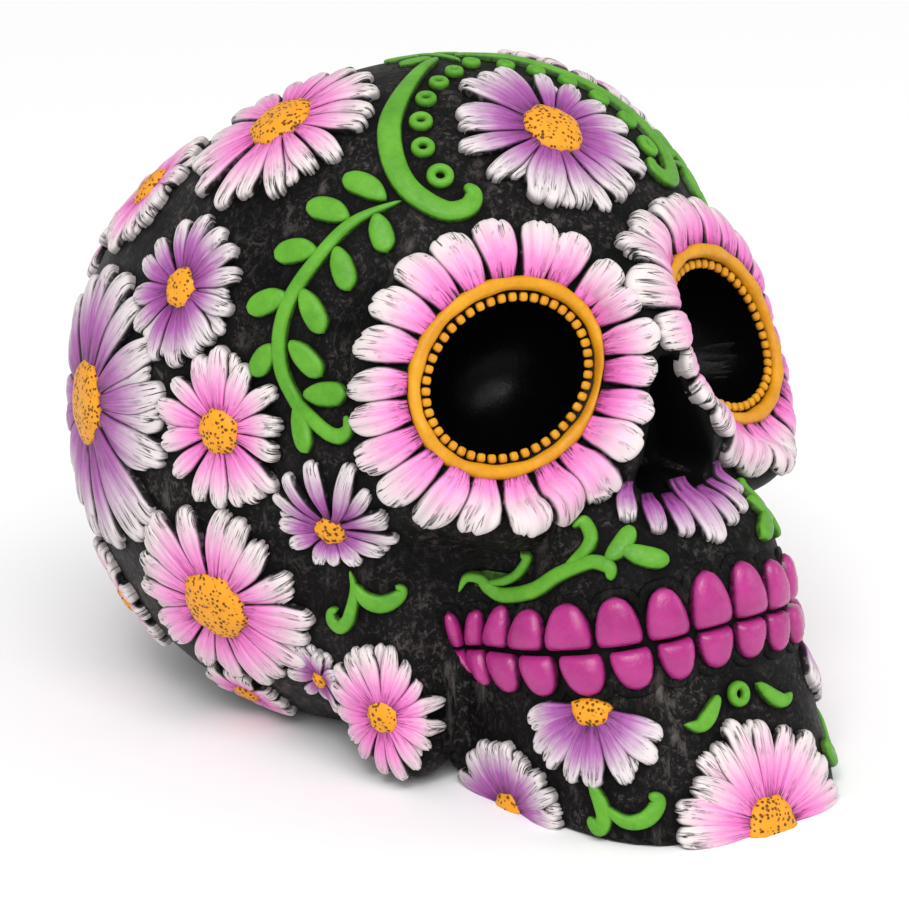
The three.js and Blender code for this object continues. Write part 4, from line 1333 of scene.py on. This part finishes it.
lipScroll = [
    (
        [(35.3, -22.2), (33.9, -19.3), (31.4, -19.1), (29.7, -20.5), (27.1, -20.6), (23.6, -17.2),
         (20.8, -13.5), (18.3, -11.3), (16.5, -10.3), (15.1, -10.5), (15.2, -11.8)],
        [0.9, 1.7, 2.1, 2.6, 3.0, 3.0, 2.8, 2.6, 2.6, 2.8, 2.4], stem, 90,
    ),
    (
        [(30.4, -19.7), (27.5, -18.6), (25.6, -16.7), (24.6, -14.6), (24.3, -12.6), (25.5, -11.8)],
        [0.9, 1.8, 2.0, 2.1, 2.0, 1.4], stem, 44,
    ),
    (
        [(20.0, -12.4), (17.3, -9.6), (16.0, -7.9), (16.3, -6.5), (18.0, -7.1)],
        [1.2, 2.4, 2.6, 2.4, 1.6], stem, 40,
    ),
    leafStrip((15.4, -10.0), (10.8, -6.2), 3.6, 0.0),
    leafStrip((13.6, -8.4), (8.0, -9.3), 3.8, 0.0),
]
crownSprig = [
    ([(0, 86), (180, 86), (180, 81), (180, 77)], [1.4, 2.2, 1.8, 0.9], stem, 40),
]
for side in (1, -1):
    crownSprig += [
        leafStrip((side * 100, 87.5), (side * 91, 81), 3.8),
        leafStrip((side * 160, 85.0), (side * 129, 80), 3.8),
    ]
crownSprig = [(*strip[:2], greenShape["crownHeight"], strip[3]) for strip in crownSprig]
jawSprig = [
    (
        [(19.5, -31.3), (19.0, -32.2), (18.6, -32.8), (18.4, -33.6), (18.9, -34.7), (19.8, -34.6)],
        [1.2, 2.2, 2.8, 3.0, 3.0, 1.8], stem, 40,
    ),
    (
        [(18.5, -32.8), (16.7, -32.9), (15.1, -32.3), (13.9, -31.5), (13.2, -30.6), (14.0, -30.3)],
        [1.4, 2.4, 3.0, 3.2, 2.8, 1.8], stem, 44,
    ),
]
chinLeaf = [([(8.6, -25.5), (6.8, -25.7), (5.2, -25.2), (3.2, -23.8)], [0.9, 2.6, 3.1, 1.8], stem, 36)]
for name, side in sides:
    for node, strips in (
        ("brow_scroll", browScroll),
        ("leaf_spray", leafSpray),
        ("cheek_sprig", cheekSprig),
        ("lip_scroll", lipScroll),
        ("jaw_sprig", jawSprig),
        ("chin_leaf", chinLeaf),
    ):
        addGreen(name + "_" + node, mirrorStrips(strips, side), name + "_" + node)
addGreen("crown_sprig", crownSprig, None)


# dots: flat rings on the skin with a dark hole, a round section carried round a circle
dotPlaces = [
    (29.9, 79.2, 1.8),
    (41.5, 74.6, 1.9),
    (46.4, 69.2, 2.0),
    (46.4, 63.3, 2.2),
    (44.4, 57.5, 2.2),
    (39.1, 52.1, 2.5),
]
middleDot = (0, 83.0, 1.8)
chinDot = (0, -24.2, 2.4)
dotShape = {
    "rounds": 28,
    "section": 12,
    "holeShare": 0.30,
    "lift": 0.25,
    "height": 1.15,
}


def addDots(name, rows, node):
    d = dotShape
    rounds, section = d["rounds"], d["section"]
    loop = np.linspace(0, 2 * np.pi, section, endpoint=False)[None, :]
    turn = np.linspace(0, 2 * np.pi, rounds, endpoint=False)[:, None]
    faces = ringFaces(rounds, section)[:, ::-1]
    bodies = []
    for dotTurn, dotRise, radius in rows:
        ground = makeGround(dotTurn, dotRise, radius)
        hole = radius * d["holeShare"]
        middle, half = (radius + hole) / 2, (radius - hole) / 2
        reach = middle + half * np.cos(loop) + 0 * turn
        skin, way = ground(reach * np.cos(turn), reach * np.sin(turn))
        reliefPoints.append(skin.reshape(-1, 3))
        height = d["lift"] + d["height"] * np.sign(np.sin(loop)) * np.abs(np.sin(loop)) ** 0.8
        bodies.append(((skin + way * height[..., None]).reshape(-1, 3), faces, noTriangles))
    wash = np.broadcast_to(smoothStep(0.3, -0.2, np.sin(loop)), (len(rows), rounds, section))
    nodes = [node] if node else []
    buildPiece(name, *gather(bodies), {"wash": wash}, leafPaint, "leaf_green", nodes)


for name, side in sides:
    addDots(name + "_crown_dots", [(t * side, r, radius) for t, r, radius in dotPlaces], None)
addDots("middle_crown_dot", [middleDot], None)
addDots("chin_dot", [chinDot], "chin_dot")
print("green work laid on")


# teeth

toothShape = {
    "biteHeight": 35.3,
    "biteFrontY": -61,
    "biteTilt": 13.3,
    "biteGap": 0.7,
    "archCentreY": -30,
    "bulge": 2.3,
    "lift": 0.5,
    "biteClear": 0.15,
    "alongCount": 15,
    "acrossCount": 17,
    "outlineAt": (0, 0.08, 0.25, 0.5, 0.75, 0.92, 1.0),
    "outline": (0.86, 0.97, 1.0, 0.92, 0.76, 0.54, 0.26),
    "swellAt": (0, 0.05, 0.2, 0.45, 0.8, 0.95, 1.0),
    "swell": (0.45, 0.78, 0.96, 1.0, 0.8, 0.5, 0.2),
    "sagAngles": (0, 10, 23, 40, 55, 71, 86, 97, 104),
    "sag": (0.2, 0.3, 0.9, 1.3, 1.1, 0.8, 0.3, 0.0, -0.3),
    "gumWidth": 2.2,
    "gumHeight": 0.5,
    "gumLift": 0.05,
    "gumPerTooth": 14,
    "gumAcross": 9,
}
upperRow = {
    "upward": 1,
    "spans": (16, 14.5, 15.5, 17.5, 16, 13, 8.5, 3.5),
    "heightAngles": (8, 23, 38, 55, 71, 86, 97, 103),
    "heights": (9.5, 8.8, 8.7, 8.2, 7.2, 7.6, 6.9, 6.7),
    "fill": 0.94,
    "lean": 0.0,
    "sway": 2.4,
}
lowerRow = {
    "upward": -1,
    "spans": (15, 13.5, 14.5, 16, 15.5, 16.5, 10.5, 3),
    "heightAngles": (0, 60, 82, 96, 103),
    "heights": (7.0, 7.1, 7.0, 6.5, 4.6),
    "fill": 0.88,
    "lean": 0.075,  # the lower teeth point forward at their gum ends
    "sway": 0.0,
}


# angles of a row that are carried towards its gum ends: leant forward, the front teeth swayed to one side
def towardsGum(row, angle, share):
    sway = row["sway"] * np.interp(angle, (-66, -50, 30, 60), (0, 1, 1, 0))
    return angle * (1 - row["lean"] * share) - sway * share


# the height of the bite in each direction: a slanted plane that sags a little along the sides
def biteAlong(direction):
    t = toothShape
    slant = np.tan(np.radians(t["biteTilt"]))
    middle = t["biteHeight"] - slant * (t["archCentreY"] - t["biteFrontY"])
    start = np.broadcast_to(np.array([0, t["archCentreY"], middle]), direction.shape)
    aside = np.degrees(np.arctan2(np.abs(direction[..., 0]), -direction[..., 1]))
    flat = t["biteHeight"] - slant * (walkToSkin(start, direction)[..., 1] - t["biteFrontY"])
    return flat - np.interp(aside, t["sagAngles"], t["sag"])


# points on the skin at heights above or below the bite, along the directions of the arch
def archPoints(direction, height):
    start = np.stack([0 * height, toothShape["archCentreY"] + 0 * height, height], -1)
    return settle(walkToSkin(start, direction), 3)


# teeth of one row: each a plump shield between two gaps of the arch, from the bite to the gum
def addTeeth(name, row):
    t = toothShape
    spans = np.array(row["spans"], float)
    edges = np.concatenate([[0], np.cumsum(spans)])
    middles = np.concatenate([-(edges[:-1] + spans / 2)[::-1], edges[:-1] + spans / 2])[:, None, None]
    halves = (np.concatenate([spans[::-1], spans]) / 2)[:, None, None]
    along = np.linspace(0, 1, t["alongCount"])[None, :, None]
    across = np.sin(np.linspace(-1, 1, t["acrossCount"]) * np.pi / 2)[None, None, :]
    outline = np.interp(along, t["outlineAt"], t["outline"])
    angle = np.radians(towardsGum(row, middles, along) + across * halves * row["fill"] * outline)
    direction = np.stack([np.sin(angle), -np.cos(angle), 0 * angle], -1)
    tall = np.interp(np.abs(middles), row["heightAngles"], row["heights"])
    clear = t["biteGap"] / 2 + t["biteClear"]
    height = biteAlong(direction) + row["upward"] * (clear + along * tall * (1 - 0.04 * across ** 2))
    skin, way = archPoints(direction, height)
    reliefPoints.append(skin.reshape(-1, 3))
    section = (1 - np.abs(across) ** 2.8) ** 0.5
    swell = np.interp(along, t["swellAt"], t["swell"])
    top = t["lift"] + t["bulge"] * section * swell + 0 * halves
    above = skin + way * top[..., None]
    points, quads, fan, spreadOut = cappedPatches(above, skin + way * reliefSunk)
    if row["upward"] > 0:
        quads, fan = quads[:, ::-1], fan[:, ::-1]
    wash = np.maximum(smoothStep(0.90, 1.0, np.abs(across)), smoothStep(0.95, 1.0, along)) * 0.9
    marks = {"wash": spreadOut(wash + 0 * top)}
    buildPiece(name, points, quads, fan, marks, toothPaint, "tooth_magenta", [name])


# the gum: a low black swelling that goes over each tooth in an arch and down between the teeth
def addGum(name, row, node):
    t = toothShape
    spans = np.array(row["spans"], float)
    edges = np.concatenate([-np.cumsum(spans)[::-1], [0], np.cumsum(spans)])
    perTooth = t["gumPerTooth"]
    count = perTooth * (len(edges) - 1) + 1
    line = np.interp(np.arange(count) / perTooth, np.arange(len(edges)), edges)
    inTooth = np.abs((np.arange(count) % perTooth) / perTooth * 2 - 1)
    rise = 1.10 - 0.42 * inTooth ** 4
    angle = np.radians(towardsGum(row, line, rise))
    direction = np.stack([np.sin(angle), -np.cos(angle), 0 * angle], -1)
    tall = np.interp(np.abs(line), row["heightAngles"], row["heights"])
    middle, out = archPoints(direction, biteAlong(direction) + row["upward"] * tall * rise)
    tangent = unit(np.gradient(middle, axis=0))
    side = unit(np.cross(out, tangent))
    across = np.sin(np.linspace(-1, 1, t["gumAcross"]) * np.pi / 2)
    skin, way = settle(middle[:, None] + (t["gumWidth"] / 2 * across)[None, :, None] * side[:, None], 3)
    ends = np.sqrt(np.clip(1 - np.linspace(-1, 1, count) ** 16, 0, 1))
    top = t["gumLift"] + t["gumHeight"] * ends[:, None] * np.sqrt(1 - np.abs(across) ** 2.4)[None, :]
    above = (skin + way * top[..., None])[None]
    points, quads, fan, spreadOut = cappedPatches(above, (skin + way * reliefSunk)[None])
    # the gum's black paint is made blacker and rougher with painted shade from the recess round the teeth
    marks = {"hollow": np.zeros(len(points)), "paintedShade": np.full(len(points), 0.6)}
    buildPiece(name, points, quads, fan, marks, castPaint, "skull_black", [node])


addTeeth("upper_teeth", upperRow)
addTeeth("lower_teeth", lowerRow)
addGum("upper_gum", upperRow, "cranium")
addGum("lower_gum", lowerRow, "lower_jaw")
print("teeth set")


# the cast skull

castShape = {
    "around": 396,
    "down": 248,
    "crowding": 0.5,
    "footRounding": 1.6,
    "cell": 1.0,
    "boxLow": (-70.0, -80.0, -5.0),
    "boxSize": (140, 190, 140),
}


# how close points lie to any relief, which sets the painted shade next to it: the relief's seats fill cells
# of a box, blurred a few times
def besideRelief(points):
    cell = castShape["cell"]
    low = np.array(castShape["boxLow"])
    size = (np.array(castShape["boxSize"]) / cell).astype(int)
    seats = np.concatenate(reliefPoints)
    place = np.clip(((seats - low) / cell).astype(int), 0, size - 1)
    box = np.zeros(size)
    box[place[:, 0], place[:, 1], place[:, 2]] = 1
    for _ in range(2):
        for axis in range(3):
            box = np.maximum(box, 0.5 * (np.roll(box, 1, axis) + np.roll(box, -1, axis)))
    for axis in range(3):
        box = 0.5 * box + 0.25 * (np.roll(box, 1, axis) + np.roll(box, -1, axis))
    at = np.clip((points - low) / cell - 0.5, 0, size - 1.001)
    i = at.astype(int)
    f = at - i
    total = np.zeros(len(points))
    for corner in np.ndindex(2, 2, 2):
        c = np.array(corner)
        weight = np.prod(np.where(c == 1, f, 1 - f), axis=1)
        k = np.minimum(i + c, size - 1)
        total += weight * box[k[:, 0], k[:, 1], k[:, 2]]
    return np.clip(total, 0, 1)


# the skin as the reach of rays from the view point over turn and rise, closer together at the face,
# ended at the flat underside with a rounded edge, and drawn far back where the eyes and the nose open
def addSkull():
    c = castShape
    u = np.linspace(-np.pi, np.pi, c["around"], endpoint=False)
    turn = u - c["crowding"] * np.sin(u)
    v = np.linspace(-1, 1, c["down"] + 2)[1:-1]
    rise = np.pi / 2 * (0.60 * v + 0.40 * v ** 3)
    gridTurn, gridRise = np.meshgrid(turn, rise, indexing="ij")
    turns = np.concatenate([gridTurn.ravel(), [0, 0]])
    rises = np.concatenate([gridRise.ravel(), [-np.pi / 2, np.pi / 2]])
    directions = rayWays(turns, rises)

    def standing(p):
        return smoothMax(skinField(p), -p[..., 2], c["footRounding"])

    points = castRays(directions, standing)
    folded = np.array(directions)
    folded[:, 0] = np.abs(folded[:, 0])
    toEye = reachPlane(folded, eyeCentre, eyeOut)
    meet = viewPoint + toEye[:, None] * folded - eyeCentre
    long, short = eyeShape["opening"]
    inEye = (toEye > 0) & (np.hypot(meet @ ovalLong / long, meet @ ovalShort / short) < 1)
    toNose = reachPlane(directions, noseShape["centre"], noseOut)
    x, height, out = fromNose(viewPoint + toNose[:, None] * directions)
    inNose = (toNose > 0) & (noseOutline(x, height) < noseShape["openingGrow"])
    eyeFloor = viewPoint + (toEye - eyeShape["openingDepth"])[:, None] * directions
    noseFloor = viewPoint + (toNose - noseShape["openingDepth"])[:, None] * directions
    points = np.where(inEye[:, None], eyeFloor, points)
    points = np.where(inNose[:, None], noseFloor, points)
    index = np.arange(c["around"] * c["down"]).reshape(c["around"], c["down"])
    ahead = np.roll(index, -1, 0)
    quads = np.stack([index[:, :-1], ahead[:, :-1], ahead[:, 1:], index[:, 1:]], -1).reshape(-1, 4)
    foot = c["around"] * c["down"]
    heel = np.stack([np.full(c["around"], foot), ahead[:, 0], index[:, 0]], -1)
    crown = np.stack([np.full(c["around"], foot + 1), index[:, -1], ahead[:, -1]], -1)
    hollow = np.where(inEye | inNose, 1.0, 0.0)
    # painted shade: the skull goes blacker close to the relief
    marks = {"hollow": hollow, "paintedShade": besideRelief(points)}
    triangles = np.concatenate([heel, crown])
    nodes = ["cranium", "lower_jaw"]
    buildPiece("skull_casting", points, quads, triangles, marks, castPaint, "skull_black", nodes)


addSkull()
print("skull cast")


# floor, light and camera

stageSetting = {
    "floorReach": 40.0,
    "floorColour": (0.99, 0.99, 0.99),
    "floorRoughness": 0.9,
    "worldColour": (1.0, 1.0, 1.0),
    "worldStrength": 0.57,
    "sunStrength": 1.8,
    "sunSpread": 0.9,
    "sunPlace": (-0.55, -0.75, 1.0),
    "lampAim": (0, 0, 0.06),
    "cameraPlace": (-0.33423, -0.42541, 0.20363),
    "cameraRight": (0.7880, -0.6157, 0.0),
    "cameraUp": (0.1697, 0.2172, 0.9613),
    "cameraBack": (-0.5918, -0.7575, 0.2756),
    "lens": 114.85,
    "sensorWidth": 36,
    "nearestSeen": 0.01,
}
areaLamps = [
    # name, place, size, power
    ("key_light", (-0.55, -0.45, 0.70), 0.22, 1.3),
    ("fill_light", (0.65, -0.60, 0.35), 0.40, 0.9),
]


def addStage():
    s = stageSetting
    r = s["floorReach"]
    mesh = bpy.data.meshes.new("floor")
    mesh.from_pydata([(-r, -r, 0), (r, -r, 0), (r, r, 0), (-r, r, 0)], [], [(0, 1, 2, 3)])
    material, tree, shader = newMaterial("pale_floor")
    shader.inputs["Base Color"].default_value = (*s["floorColour"], 1)
    shader.inputs["Roughness"].default_value = s["floorRoughness"]
    mesh.materials.append(material)
    floor = bpy.data.objects.new("floor", mesh)
    bpy.context.collection.objects.link(floor)
    world = bpy.data.worlds.new("studio")
    world.use_nodes = True
    background = world.node_tree.nodes["Background"]
    background.inputs["Color"].default_value = (*s["worldColour"], 1)
    background.inputs["Strength"].default_value = s["worldStrength"]
    bpy.context.scene.world = world


# links an object and sets it in its place, turned to three axes
def placeObject(name, data, right, up, back, place):
    holder = bpy.data.objects.new(name, data)
    bpy.context.collection.objects.link(holder)
    turned = np.eye(4)
    turned[:3] = np.stack([right, up, back, place], -1)
    holder.matrix_world = Matrix(turned.tolist())
    return holder


# hangs a lamp so that it looks from its place to its aim
def hangLamp(light, place, aim):
    back = unit(np.array(place, float) - np.array(aim, float))
    right = unit(np.cross((0, 0, 1), back))
    placeObject(light.name, light, right, np.cross(back, right), back, place)


def addSun():
    s = stageSetting
    light = bpy.data.lights.new("soft_sun", "SUN")
    light.energy = s["sunStrength"]
    light.angle = s["sunSpread"]
    hangLamp(light, s["sunPlace"], (0, 0, 0))


def addLight(name, place, size, power):
    light = bpy.data.lights.new(name, "AREA")
    light.shape = "DISK"
    light.size = size
    light.energy = power
    hangLamp(light, place, stageSetting["lampAim"])


def addCamera():
    s = stageSetting
    camera = bpy.data.cameras.new("camera")
    camera.lens = s["lens"]
    camera.sensor_width = s["sensorWidth"]
    camera.clip_start = s["nearestSeen"]
    axes = (s["cameraRight"], s["cameraUp"], s["cameraBack"])
    bpy.context.scene.camera = placeObject("camera", camera, *axes, s["cameraPlace"])


addStage()
addSun()
for row in areaLamps:
    addLight(*row)
addCamera()
bpy.context.scene.view_settings.view_transform = "Standard"
print("stage set")
